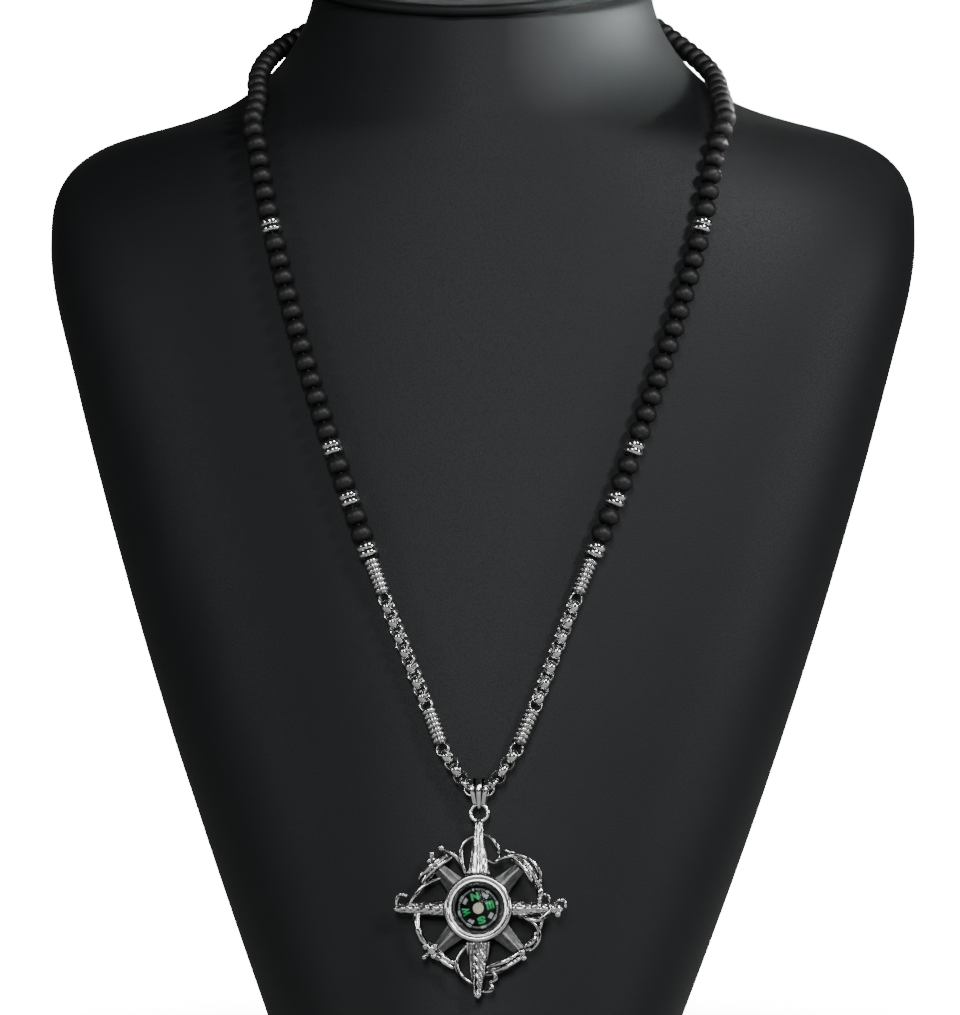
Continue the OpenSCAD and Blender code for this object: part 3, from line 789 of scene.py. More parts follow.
# On the bars the carving's height paints the grooves between the ribs dark: painted shade.
BAR_STEEL = CarvedSteel("bar_stainless_shaded_grooves", dark=(0.05, 0.05, 0.05), rough=0.16, grain=900.0)
CAPSULE = Plastic("capsule_charcoal", (0.02, 0.02, 0.022), (0.03, 0.03, 0.033))
CARD = Plastic("card_print_black", (0.002, 0.002, 0.0025), (0.004, 0.004, 0.005), rough=0.6, gloss=0.15)
CREAM = Plastic("pivot_cap_cream", (0.72, 0.66, 0.42), (0.88, 0.85, 0.66), rough=0.3)
WHITE_PRINT = Plastic("dial_print_white", (0.7, 0.72, 0.74), (0.9, 0.92, 0.93), rough=0.5)
THREAD = Plastic("waxed_thread", (0.006, 0.006, 0.006), (0.012, 0.012, 0.012), rough=0.6)


@dataclass(frozen=True)
class Lamp:
    """A soft square light: its place and width in metres, power in watts, aim, and spread in degrees."""

    name: str
    place: Triple
    size: float
    power: float
    target: Triple = (0.0, -0.03, 0.16)
    spread: float = 180.0


LAMPS = (
    Lamp("key", (0.62, -0.7, 0.8), 0.2, 6.0),
    Lamp("top_front", (-0.1, -1.1, 0.75), 0.22, 2.2),
    Lamp("front_box", (0.0, -1.12, 0.47), 0.18, 2.1),
    Lamp("left_strip", (-0.85, -0.55, 0.3), 0.16, 1.2),
    Lamp("right_strip", (0.95, -0.3, 0.3), 0.2, 2.2),
    Lamp("neck_rim", (0.85, 0.14, 0.46), 0.09, 0.16, target=(0.05, -0.01, 0.308), spread=6.0),
)


@dataclass
class Studio:
    """Camera, lights, floor and backdrop."""

    pivot: Triple = (0.0, -50.0, 154.5)
    distance: float = 1200.0
    turn: float = 3.5
    shift: float = 4.7
    focal_pixels: float = 4528.0
    sensor: float = 36.0
    roll: float = -0.003
    nearest: float = 0.05
    farthest: float = 20.0
    floor_radius: float = 7.0
    floor_tone: Triple = (0.6, 0.6, 0.6)
    floor_mottle: float = 0.98
    # The floor's painted glow, seen by the camera only, rises from 1 at glow_start to white at glow_end.
    glow_start: float = 0.02
    glow_end: float = 0.22
    white: float = 17.0
    room: float = 0.02

    def add_camera(self) -> None:
        """Adds the camera at the photograph's viewing angle."""
        data = bpy.data.cameras.new("camera")
        data.sensor_fit = "VERTICAL"
        data.sensor_height = self.sensor
        data.lens = self.focal_pixels * data.sensor_height / PHOTO_HEIGHT
        data.clip_start = self.nearest
        data.clip_end = self.farthest
        camera = bpy.data.objects.new("camera", data)
        bpy.context.scene.collection.objects.link(camera)
        orbit = Matrix.Rotation(math.radians(self.turn), 4, "Z") @ Matrix.Translation(
            Vector((self.shift, -self.distance, 0.0)) * MM)
        aim = Matrix.Rotation(math.radians(90), 4, "X") @ Matrix.Rotation(self.roll, 4, "Z")
        camera.matrix_world = Matrix.Translation(Vector(self.pivot) * MM) @ orbit @ aim
        bpy.context.scene.camera = camera

    def add_lights(self) -> None:
        """Adds the key from the upper right, two boxes above the camera, two side strips and a narrow
        light on the right of the neck."""
        for lamp in LAMPS:
            data = bpy.data.lights.new(lamp.name, "AREA")
            data.shape = "SQUARE"
            data.size = lamp.size
            data.energy = lamp.power
            data.spread = math.radians(lamp.spread)
            light = bpy.data.objects.new(lamp.name, data)
            bpy.context.scene.collection.objects.link(light)
            light.location = Vector(lamp.place)
            away = Vector(lamp.place) - Vector(lamp.target)
            light.rotation_euler = away.to_track_quat("Z", "Y").to_euler()

    def add_stage(self) -> None:
        """Adds a pale round floor with painted light: it glows to the camera, faintly by the bust and white
        further out.
        """
        Bench.clear()
        bpy.ops.mesh.primitive_circle_add(vertices=96, radius=self.floor_radius, fill_type="NGON")
        floor = bpy.context.object
        floor.name = "floor"
        material = bpy.data.materials.new("pale_floor")
        material.use_nodes = True
        graph = Graph(material.node_tree)
        place = graph.add("ShaderNodeTexCoord")
        grain = graph.add("ShaderNodeTexNoise", {"Scale": 3.0, "Detail": 2.0})
        graph.link(place, "Object", grain, "Vector")
        graph.base_colour(grain, "Fac", [v * self.floor_mottle for v in self.floor_tone], self.floor_tone)
        # Painted light: camera rays see the floor glow, with a strength of 1 by the bust rising to white
        # further out.
        far = graph.add("ShaderNodeVectorMath", operation="LENGTH")
        graph.link(place, "Object", far, 0)
        rising = {"From Min": self.glow_start, "From Max": self.glow_end, "To Min": 1.0, "To Max": self.white}
        glow = graph.add("ShaderNodeMapRange", rising, interpolation_type="SMOOTHSTEP")
        graph.link(far, "Value", glow, "Value")
        path = graph.add("ShaderNodeLightPath")
        seen = graph.add("ShaderNodeMath", operation="MULTIPLY")
        graph.link(path, "Is Camera Ray", seen, 0)
        graph.link(glow, "Result", seen, 1)
        graph.link(seen, 0, graph.shader, "Emission Strength")
        graph.shade({"Roughness": 0.7, "Emission Color": WHITE})
        floor.data.materials.append(material)

    def add_world(self) -> None:
        """Adds a dim room whose backdrop is white to the camera."""
        world = bpy.data.worlds.new("studio_room")
        bpy.context.scene.world = world
        world.use_nodes = True
        graph = Graph(world.node_tree)
        back = world.node_tree.nodes["Background"]
        path = graph.add("ShaderNodeLightPath")
        strength = graph.add("ShaderNodeMapRange", {"To Min": self.room, "To Max": self.white})
        graph.link(path, "Is Camera Ray", strength, "Value")
        graph.link(strength, "Result", back, "Strength")
        back.inputs["Color"].default_value = WHITE


@dataclass
class BustDress:
    """The bust's cover: the solid's own skin, rounded off, in leatherette."""

    levels: int = 2
    facing_down: float = -0.999
    flatness: float = 50.0
    squareness: float = 60.0
    wide_face: int = 8
    crease: float = 0.9
    shading: float = 40.0
    finish: Leatherette = field(default_factory=Leatherette)

    def cover(self, node: Piece, name: str) -> Piece:
        """Rounds a copy of a faceted node and stands it in the node's place.

        Args:
            node: The CAD node.
            name: The new piece's name.

        Returns:
            The cover.
        """
        piece = Bench.merged_copy(node, name)
        Bench.pick(piece)
        with Bench.editing():
            bpy.ops.mesh.select_all(action="DESELECT")
        for face in piece.data.polygons:
            face.select = face.normal.z < self.facing_down
        with Bench.editing():
            bpy.ops.mesh.dissolve_faces()
            bpy.ops.mesh.select_all(action="SELECT")
            bpy.ops.mesh.tris_convert_to_quads(face_threshold=math.radians(self.flatness),
                                               shape_threshold=math.radians(self.squareness))
        self.crease_rims(piece)
        rounding = piece.modifiers.new("rounding", "SUBSURF")
        rounding.levels = self.levels
        rounding.render_levels = self.levels
        Bench.apply_modifiers(piece)
        Bench.smooth(piece, self.shading)
        self.finish.put_on(piece)
        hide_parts(node.name)
        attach(piece, Body.BUST.value)
        return piece

    def crease_rims(self, piece: Piece) -> None:
        """Keeps the flat ends' outlines sharp when the skin is rounded.

        Args:
            piece: The merged copy.
        """
        mesh = piece.data
        sharp = mesh.attributes.new("crease_edge", "FLOAT", "EDGE")
        edges = {edge.key: edge.index for edge in mesh.edges}
        for face in mesh.polygons:
            if len(face.vertices) > self.wide_face:
                for key in face.edge_keys:
                    sharp.data[edges[key]].value = self.crease

    def build(self, nodes: dict[str, Piece]) -> list[Piece]:
        """Builds both covers.

        Args:
            nodes: The CAD nodes by name.

        Returns:
            The covers.
        """
        lid = self.cover(nodes["neck_cap"], "cap_leatherette")
        return [self.cover(nodes["neck_bust"], "bust_leatherette"), lid]


@dataclass(frozen=True)
class Spun:
    """A round solid found in a node: its middle, axis, outer radius and half its length, in metres."""

    middle: Vector
    axis: Vector
    radius: float
    half: float

    @staticmethod
    def measure(places: Sequence[Vector], wide: bool) -> "Spun":
        """Measures a round solid from its points.

        Args:
            places: Its points.
            wide: True where the axis is its short way, as in a ring, and false in a bar.

        Returns:
            Its measures.
        """
        points = numpy.array([tuple(place) for place in places])
        _, ways = numpy.linalg.eigh(numpy.cov(points.T))
        spread = points @ ways
        middle = ways @ ((spread.min(axis=0) + spread.max(axis=0)) / 2)
        axis = ways[:, 0 if wide else 2]
        along = (points - middle) @ axis
        out = numpy.linalg.norm(points - middle - numpy.outer(along, axis), axis=1)
        return Spun(Vector(middle), Vector(axis), float(out.max()), float(numpy.abs(along).max()))

    def matrix(self, up: Vector | None = None) -> Matrix:
        """The solid's frame, with +Z along its axis.

        Args:
            up: Where +Y points, or nothing where any turn will do.

        Returns:
            From that frame to the part's.
        """
        third = self.axis.normalized()
        hint = up if up is not None else third.orthogonal()
        first = hint.cross(third).normalized()
        second = third.cross(first)
        turn = Matrix((first, second, third)).transposed().to_4x4()
        return Matrix.Translation(self.middle) @ turn


@dataclass
class StringDress:
    """Beads, bars and chain: a finish on the black beads, and rounded pieces for the faceted steel."""

    wall: float = 0.7
    bar_length: float = 10.4
    bar_radius: float = 2.1
    rib_depth: float = 0.36
    ribs: int = 7
    rib_slant: float = 12.0
    ring_reach: float = 1.3
    end_band: float = 0.81
    shading: float = 50.0
    stone: MatteStone = field(default_factory=MatteStone)

    def add_link(self, name: str, radius: float, half: float) -> Piece:
        """Makes a band link with a rounded section, about +Z.

        Args:
            name: The link's name.
            radius: Outer radius in millimetres.
            half: Half the width of its band.

        Returns:
            The link.
        """
        Bench.clear()
        thin = self.wall / 2
        bpy.ops.mesh.primitive_torus_add(major_radius=radius - thin, minor_radius=thin, major_segments=40,
                                         minor_segments=14)
        link = Bench.made(name)
        with Bench.editing():
            bpy.ops.mesh.select_all(action="SELECT")
            bpy.ops.transform.resize(value=(1.0, 1.0, half / thin))
        return link

    def add_steel_bead(self, name: str, radius: float, half: float) -> Piece:
        """Makes a steel bead about +Z: two round rims with a groove between them.

        Args:
            name: The bead's name.
            radius: Outer radius in millimetres.
            half: Half its length.

        Returns:
            The bead.
        """
        piece = Tube.add(name, sides=40, rings=48)

        def shape(turn: float, t: float) -> tuple[Vector, float]:
            """Gives the bead's surface."""
            level = 2 * t - 1
            lobe = math.sqrt(max(1 - (2 * abs(level) - 1) ** 2, 0.0))
            reach = radius * (0.62 + 0.38 * lobe) if abs(level) > 0.5 else radius * (0.86 + 0.14 * lobe)
            return Vector((reach * math.cos(turn), reach * math.sin(turn), level * half)), 0.9

        Tube.lay(piece, shape)
        return piece

    def add_rod(self, name: str) -> Piece:
        """Makes a bar along +Z, with its middle on the origin and slanted round ribs.

        Args:
            name: The bar's name.

        Returns:
            The bar.
        """
        piece = Tube.add(name, sides=36, rings=110)
        step = self.bar_length / (self.ribs + 0.6)
        slope = math.tan(math.radians(self.rib_slant))

        def shape(turn: float, t: float) -> tuple[Vector, float]:
            """Gives the bar's surface."""
            z = t * self.bar_length
            level = (z - slope * self.bar_radius * math.sin(turn)) / step - 0.8
            wave = math.cos(math.tau * level)
            inside = -0.5 < level < self.ribs - 0.5
            swell = max(0.5 + 0.75 * wave, 0.0) ** 0.5 if inside else 0.0
            rise = min(swell, 1.0)
            end = min(min(t, 1 - t) * self.bar_length / 0.25, 1.0)
            radius = (self.bar_radius - self.rib_depth * (1 - rise)) * (0.86 + 0.14 * end)
            place = Vector((radius * math.cos(turn), radius * math.sin(turn), z - self.bar_length / 2))
            # The grooves between the ribs get a low carving height, which the bars' finish paints dark:
            # painted shade.
            return place, 0.25 + 0.7 * rise

        Tube.lay(piece, shape)
        return piece

    @staticmethod
    def loose_parts(node: Piece) -> list[list[Vector]]:
        """The points of each separate solid of a node.

        Args:
            node: The CAD node.

        Returns:
            A list of points for each solid.
        """
        Bench.merged_copy(node, f"{node.name}_parts")
        with Bench.editing():
            bpy.ops.mesh.select_all(action="SELECT")
            bpy.ops.mesh.separate(type="LOOSE")
        parts = list(bpy.context.selected_objects)
        found = [[part.matrix_world @ vertex.co for vertex in part.data.vertices] for part in parts]
        for part in parts:
            bpy.data.objects.remove(part)
        return found

    def stand_in(self, node: Piece, name: str, pieces: list[Piece], look: Finish) -> Piece:
        """Joins pieces and stands them in a node's place.

        Args:
            node: The CAD node.
            name: The joined piece's name.
            pieces: The pieces, in their places.
            look: Their finish.

        Returns:
            The joined piece.
        """
        piece = Bench.join(name, pieces)
        Bench.fix_normals(piece, SKIN_MERGE)
        Bench.smooth(piece, self.shading)
        look.put_on(piece)
        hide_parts(node.name)
        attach(piece, Body.BUST.value)
        return piece

    def round_each(self, node: Piece, add: Callable[[str, float, float], Piece], look: Finish) -> Piece:
        """Rounds every link or bead of a row.

        Args:
            node: The CAD row.
            add: Makes one from its name, radius and half-length, in millimetres.
            look: The row's finish.

        Returns:
            The rounded row.
        """
        pieces = []
        for i, places in enumerate(self.loose_parts(node)):
            solid = Spun.measure(places, wide=True)
            piece = add(f"{node.name}_{i}", solid.radius / MM, solid.half / MM)
            Bench.place(piece, solid.matrix())
            pieces.append(piece)
        return self.stand_in(node, f"{node.name}_rounded", pieces, look)

    def round_bar(self, node: Piece) -> Piece:
        """Rounds a ribbed bar and the chain ring at one or both of its ends.

        Args:
            node: The CAD bar.

        Returns:
            The rounded bar.
        """
        places = self.loose_parts(node)[0]
        whole = Spun.measure(places, wide=False)
        axis = whole.axis if whole.axis.z > 0 else -whole.axis
        along = [(place - whole.middle).dot(axis) / MM for place in places]
        low, high = min(along), max(along)
        with_one_ring = self.bar_length + 2 * self.bar_radius + self.ring_reach
        ends = [low] if high - low < with_one_ring else [low, high]
        start = low + self.ring_reach + self.bar_radius
        middle = whole.middle + axis * (start + self.bar_length / 2) * MM
        front = Vector((0.0, -1.0, 0.0))
        front = (front - axis * front.dot(axis)).normalized()
        bar = self.add_rod(f"{node.name}_rod")
        Bench.place(bar, Spun(middle, axis, whole.radius, whole.half).matrix(front))
        pieces = [bar]
        for end in ends:
            sign = 1 if end > 0 else -1
            reach = self.bar_radius + self.ring_reach * 0.9
            near = [place for place, far in zip(places, along) if sign * (end - far) < reach]
            across = Spun.measure(near, wide=True).axis
            spot = whole.middle + axis * (end - sign * self.bar_radius) * MM
            ring = self.add_link(f"{node.name}_ring", self.bar_radius, self.end_band)
            Bench.place(ring, Spun(spot, across, 0.0, 0.0).matrix())
            Bench.carving(ring, height=0.9)
            pieces.append(ring)
        return self.stand_in(node, f"{node.name}_rounded", pieces, BAR_STEEL)

    def build(self, nodes: dict[str, Piece]) -> list[Piece]:
        """Puts the finishes on the black beads, thread and clasp, and rounds the steel beads, chain and bars.

        Args:
            nodes: The CAD nodes by name.

        Returns:
            The rounded pieces.
        """
        rounded = []
        for name, node in nodes.items():
            if name.startswith("black_beads"):
                self.stone.put_on(node)
            elif name == "nape_clasp":
                POLISHED.put_on(node)
            elif name.startswith("steel_beads"):
                rounded.append(self.round_each(node, self.add_steel_bead, POLISHED))
            elif name == "bead_thread":
                THREAD.put_on(node)
            elif name.startswith("chain_"):
                rounded.append(self.round_each(node, self.add_link, LINK_STEEL))
            elif name.endswith(("bar_left", "bar_right")):
                rounded.append(self.round_bar(node))
        return rounded


@dataclass
class BailDress:
    """The bail: the CAD skin, meshed finely, with bright flutes that run together and blackened grooves."""

    lie: Lie = field(default_factory=Lie)
    voxel: float = 0.13
    top: float = 33.2
    foot: float = 27.6
    top_spread: float = 2.3
    foot_spread: float = 1.15
    flute_half: float = 0.62
    groove: float = 0.2
    shading: float = 50.0

    def ridge(self, place: Vector) -> float:
        """How far a place stands on a flute.

        Args:
            place: The place in the pendant's frame, in millimetres.

        Returns:
            One on a flute's crest and nought in a groove.
        """
        share = clamp((place.z - self.foot) / (self.top - self.foot))
        spread = self.foot_spread + (self.top_spread - self.foot_spread) * share
        nearest = min(abs(place.x), max(spread - abs(place.x), 0.0))
        return math.exp(-((nearest / (self.flute_half * (0.75 + 0.35 * share))) ** 4))

    def build(self, node: Piece) -> Piece:
        """Makes the fluted bail.

        Args:
            node: The CAD bail.

        Returns:
            The piece.
        """
        piece = Bench.merged_copy(node, "fluted_bail")
        fine = piece.modifiers.new("fine", "REMESH")
        fine.mode = "VOXEL"
        fine.voxel_size = self.voxel * MM
        soften = piece.modifiers.new("soften", "SMOOTH")
        soften.factor = 0.5
        soften.iterations = 4
        Bench.apply_modifiers(piece)
        carve = Bench.carving(piece)
        back = self.lie.matrix().inverted()
        skin = [(vertex.co.copy(), vertex.normal.copy()) for vertex in piece.data.vertices]
        for i, (spot, normal) in enumerate(skin):
            crest = self.ridge(back @ spot / MM)
            piece.data.vertices[i].co = spot - normal * self.groove * (1 - crest) * MM
            carve.data[i].value = 0.12 + 0.85 * crest
        Bench.smooth(piece, self.shading)
        CAST_STEEL.put_on(piece)
        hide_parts(node.name)
        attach(piece, Body.BAIL.value)
        return piece


@dataclass(frozen=True)
class Twig:
    """One twig of the wreath: three places on its run, each an angle clockwise from the top, a share of
    the wreath's radius and a height to the front, then the twig's radius."""

    start: Triple
    middle: Triple
    end: Triple
    radius: float


@dataclass(frozen=True)
class Bud:
    """A bud or knot: its angle, share of the wreath's radius, height to the front, and radius."""

    angle: float
    share: float
    forward: float
    radius: float


@dataclass(frozen=True)
class Blade:
    """A long point: its turn from the top, half-widths, reach, taper and carving."""

    turn: float
    base_half: float
    tip_half: float
    reach: float
    taper: float
    kind: Kind


RODS = (
    Twig((-65, 1.07, 0.3), (-48, 1.04, 0.5), (-29, 1.02, 0.4), 0.80),
    Twig((-67, 1.00, 0.5), (-48, 0.96, 0.6), (-26, 0.96, 0.5), 0.75),
    Twig((36, 1.06, 0.4), (50, 1.07, 0.6), (66, 1.07, 0.4), 0.70),
    Twig((33, 0.99, 0.5), (49, 0.99, 0.6), (64, 1.00, 0.5), 0.72),
    Twig((66, 1.05, 0.1), (75, 1.04, 0.0), (86, 1.01, 0.0), 0.85),
    Twig((-91, 0.98, 0.2), (-107, 1.04, 0.4), (-125, 1.02, 0.4), 0.85),
    Twig((-123, 1.02, 0.3), (-130, 1.02, 0.4), (-137, 1.01, 0.3), 1.10),
    Twig((-133, 0.97, 0.6), (-145, 0.97, 0.7), (-160, 0.96, 0.6), 0.62),
    Twig((-135, 1.05, 0.3), (-146, 1.04, 0.4), (-159, 1.04, 0.3), 0.62),
    Twig((172, 0.99, 0.6), (153, 0.97, 0.7), (134, 0.97, 0.6), 0.62),
    Twig((174, 1.08, 0.3), (154, 1.06, 0.4), (135, 1.05, 0.3), 0.62),
    Twig((131, 1.01, 0.4), (124, 1.03, 0.5), (115, 1.02, 0.3), 0.85),
    Twig((117, 1.02, 0.1), (106, 1.06, 0.1), (93, 1.03, 0.1), 0.50),
)
TENDRILS = (
    Twig((-34, 1.14, 0.7), (-23, 0.91, 1.0), (-21, 0.58, 0.6), 0.50),
    Twig((-43, 0.98, 0.0), (-43, 1.11, 0.0), (-41, 1.19, 0.0), 0.50),
    Twig((-2, 1.20, 0.4), (-16, 1.02, 0.9), (-20, 0.62, 0.7), 0.42),
    Twig((4, 1.22, 0.4), (14, 1.12, 0.9), (21, 0.94, 1.0), 0.42),
    Twig((21, 0.94, 1.0), (20, 0.81, 1.1), (10, 0.81, 0.8), 0.42),
    Twig((20, 0.78, 1.0), (32, 1.02, 1.1), (44, 1.14, 0.8), 0.50),
    Twig((22, 1.03, 0.2), (28, 1.06, 0.2), (37, 1.08, 0.4), 0.45),
    Twig((42, 1.13, 0.7), (54, 1.18, 0.8), (68, 1.10, 0.5), 0.42),
    Twig((79, 1.02, 0.3), (78, 1.13, 0.5), (85, 1.17, 0.4), 0.40),
    Twig((99, 0.65, 1.0), (101, 0.97, 1.5), (87, 1.24, 1.2), 0.55),
    Twig((87, 1.24, 1.2), (84, 1.38, 0.9), (90, 1.43, 0.4), 0.45),
    Twig((-51, 0.79, 0.0), (-72, 1.00, 1.1), (-92, 1.18, 1.3), 0.45),
    Twig((-80, 1.18, 0.6), (-81, 1.32, 0.7), (-89, 1.34, 0.5), 0.45),
    Twig((-132, 1.01, 0.0), (-132, 1.10, 0.0), (-132, 1.18, 0.0), 0.50),
    Twig((-163, 0.62, 0.8), (-159, 0.97, 1.3), (-177, 1.23, 0.7), 0.45),
    Twig((102, 0.75, 1.2), (111, 1.07, 0.9), (130, 1.09, 0.6), 0.42),
    Twig((170, 1.00, 0.9), (165, 1.15, 1.0), (171, 1.22, 0.8), 0.45),
    Twig((171, 1.22, 0.8), (170, 1.33, 0.8), (177, 1.36, 0.5), 0.50),
)
BUDS = (
    Bud(-32, 1.17, 0.6, 0.80), Bud(-41, 1.18, 0.0, 0.75), Bud(-46, 1.13, 0.0, 0.75), Bud(66, 1.06, 0.8, 0.85),
    Bud(81, 1.01, 0.8, 0.60), Bud(94, 1.30, 0.5, 0.85), Bud(-80, 1.20, 0.6, 0.55), Bud(-126, 1.06, 0.8, 0.80),
    Bud(-131, 0.94, 0.9, 0.85), Bud(-132, 1.18, 0.0, 0.75), Bud(-137, 1.06, 0.7, 0.85),
    Bud(135, 1.01, 0.65, 0.95), Bud(137, 1.10, 0.15, 0.75), Bud(180, 1.41, 0.3, 0.95),
)
BLADES = (
    Blade(0, 3.6, 1.15, 23.0, 1.5, Kind.BARK),
    Blade(180, 3.8, 1.25, 22.4, 1.4, Kind.ROPE),
    Blade(90, 2.3, 1.0, 21.8, 0.7, Kind.FEATHER),
    Blade(-90, 2.3, 1.0, 21.8, 0.7, Kind.FEATHER),
)


@dataclass
class Metalwork:
    """The pendant's carved casting: wreath, buds, long and short points, hub and hanging ring."""

    lie: Lie = field(default_factory=Lie)
    wreath_radius: float = 16.2
    bud_swell: float = 1.12
    start_radius: float = 7.8
    rim_radius: float = 9.0
    under_rim: float = 1.55
    hub_radius: float = 8.85
    hub_wall: float = 1.1
    hub_back: float = -2.5
    hub_front: float = 1.6
    ring_height: float = 25.5
    ring_radius: float = 2.28
    ring_wire: float = 0.57
    edge_round: float = 0.18
    point_front: float = 2.3
    point_back: float = 1.5
    tip_share: float = 0.9
    short_half: float = 2.9
    short_tip_half: float = 1.45
    merge: float = 0.001
    shading: float = 60.0
    short_turns: tuple[int, ...] = (45, 135, 225, 315)
    relief: dict[Kind, float] = field(
        default_factory=lambda: {Kind.BARK: 0.16, Kind.ROPE: 0.3, Kind.FEATHER: 0.18})

    @staticmethod
    def ripple(place: Vector, scale: float = 1.0) -> float:
        """Smooth noise between about -1 and 1.

        Args:
            place: A place in millimetres.
            scale: Waves per millimetre.

        Returns:
            The value there.
        """
        return noise.noise(place * scale)

    @staticmethod
    def through(a: float, b: float, c: float, t: float) -> float:
        """A smooth curve through three values.

        Args:
            a: The value at 0.
            b: The value at one half.
            c: The value at 1.
            t: The share of the way.

        Returns:
            The value there.
        """
        return a * (1 - t) * (1 - 2 * t) + 4 * b * t * (1 - t) + c * t * (2 * t - 1)

    def polar(self, angle: float, share: float, forward: float) -> Vector:
        """A place in the pendant's frame.

        Args:
            angle: Degrees clockwise from the top.
            share: Share of the wreath's radius.
            forward: Height to the front, in millimetres.

        Returns:
            The place in millimetres.
        """
        turn = math.radians(angle)
        radius = share * self.wreath_radius
        return Vector((radius * math.sin(turn), -forward, radius * math.cos(turn)))

    def on_twig(self, twig: Twig, t: float) -> Vector:
        """The middle of a twig.

        Args:
            twig: The twig.
            t: The share of its length.

        Returns:
            The place in millimetres.
        """
        return self.polar(*(self.through(a, b, c, t) for a, b, c in zip(twig.start, twig.middle, twig.end)))

    def add_twig(self, name: str, twig: Twig, sides: int, rings: int, lobes: float, twists: float) -> Piece:
        """Makes one twig as strands wound round each other, with knots and rounded ends.

        Args:
            name: The piece's name.
            twig: Its run and radius.
            sides: Vertices round it.
            rings: Rings along it.
            lobes: Depth of the grooves between the strands, as a share of the radius.
            twists: Turns of the strands from end to end.

        Returns:
            The twig.
        """
        piece = Tube.add(name, sides, rings)

        def shape(turn: float, t: float) -> tuple[Vector, float]:
            """Gives the twig's surface."""
            middle = self.on_twig(twig, t)
            ahead, behind = self.on_twig(twig, min(t + 0.02, 1.0)), self.on_twig(twig, max(t - 0.02, 0.0))
            run = (ahead - behind).normalized()
            side = run.cross(Vector((0, 1, 0))).normalized()
            top = run.cross(side)
            out = side * math.cos(turn) + top * math.sin(turn)
            strand = math.cos(2 * turn - math.tau * twists * t)
            bark = self.ripple(middle * 0.9 + out * 1.6)
            end = min(t, 1 - t) / 0.07
            rounding = math.sqrt(max(1 - (1 - min(end, 1.0)) ** 2, 0.02))
            swell = 1 + 0.12 * self.ripple(middle, 0.55)
            radius = twig.radius * (0.66 + 0.58 * math.sin(math.pi * t) ** 0.6) * swell * rounding
            reach = radius * (1 + lobes * strand + 0.1 * bark)
            height = 0.6 + 0.42 * strand + 0.42 * bark
            return middle + out * reach, clamp(height)

        Tube.lay(piece, shape)
        return piece

    def add_bud(self, name: str, bud: Bud) -> Piece:
        """Makes one bud: a sphere with a soft cleft.

        Args:
            name: The piece's name.
            bud: Its place and radius.

        Returns:
            The bud.
        """
        Bench.clear()
        bpy.ops.mesh.primitive_uv_sphere_add(segments=20, ring_count=12, radius=bud.radius * self.bud_swell)
        piece = bpy.context.object
        piece.name = name
        carve = Bench.carving(piece)
        middle = self.polar(bud.angle, bud.share, bud.forward)
        for i, vertex in enumerate(piece.data.vertices):
            out = vertex.co.normalized()
            cleft = abs(math.sin(2 * math.atan2(out.z, out.x) + bud.angle))
            lump = self.ripple(middle + vertex.co, 1.3)
            vertex.co *= 1.0 + 0.1 * lump - 0.12 * (1 - cleft) * max(-out.y, 0.0)
            carve.data[i].value = clamp(0.35 + 0.6 * cleft * max(-out.y, 0.0) + 0.3 * lump)
        piece.data.transform(Matrix.Translation(middle))
        return piece

    def carved(self, kind: Kind, across: float, z: float, half: float) -> float:
        """How high a long point's carving stands.

        Args:
            kind: The kind of carving.
            across: Distance from the spine, in millimetres.
            z: Distance from the compass centre.
            half: The point's half-width there.

        Returns:
            A height from -1 in a furrow to 1 on a ridge.
        """
        wander = self.ripple(Vector((across * 0.6, 3.1, z * 0.35)))
        fine = self.ripple(Vector((across * 2.2, 7.7, z * 0.9)))
        if kind is Kind.BARK:
            return 0.65 * math.cos(math.tau * across / 1.05 + 2.4 * wander) + 0.6 * fine
        if kind is Kind.FEATHER:
            spine = math.exp(-((across / 0.4) ** 2))
            barbs = math.cos(math.tau * (z - 1.6 * abs(across)) / 2.3 + 4.0 * wander)
            streaks = math.cos(math.tau * across / 0.9 + 3.0 * wander)
            return min(0.45 * barbs + 0.35 * streaks + 0.7 * fine, 1.0) * (1 - 0.5 * spine) + 0.5 * spine
        band = across + 0.25 * half
        rope = math.cos(math.tau * (z + 1.5 * band) / 1.9)
        edge = math.exp(-(((band / (0.5 * half)) - 1.0) / 0.3) ** 2)
        ridges = math.cos(math.tau * across / 0.95 + 2.0 * wander)
        low = clamp((z - 10.5) / 2.5)
        mixed = rope if abs(band) < 0.5 * half else ridges
        return (low * mixed + (1 - low) * ridges) * 0.9 + 0.25 * fine - 0.8 * low * edge

    def add_blade(self, name: str, blade: Blade) -> Piece:
        """Makes a long point, pointing up, and turns it to its place.

        Args:
            name: The piece's name.
            blade: Its sizes and carving.

        Returns:
            The point.
        """
        piece = Tube.add(name, sides=72, rings=96)
        turn_matrix = Matrix.Rotation(math.radians(blade.turn), 3, "Y")

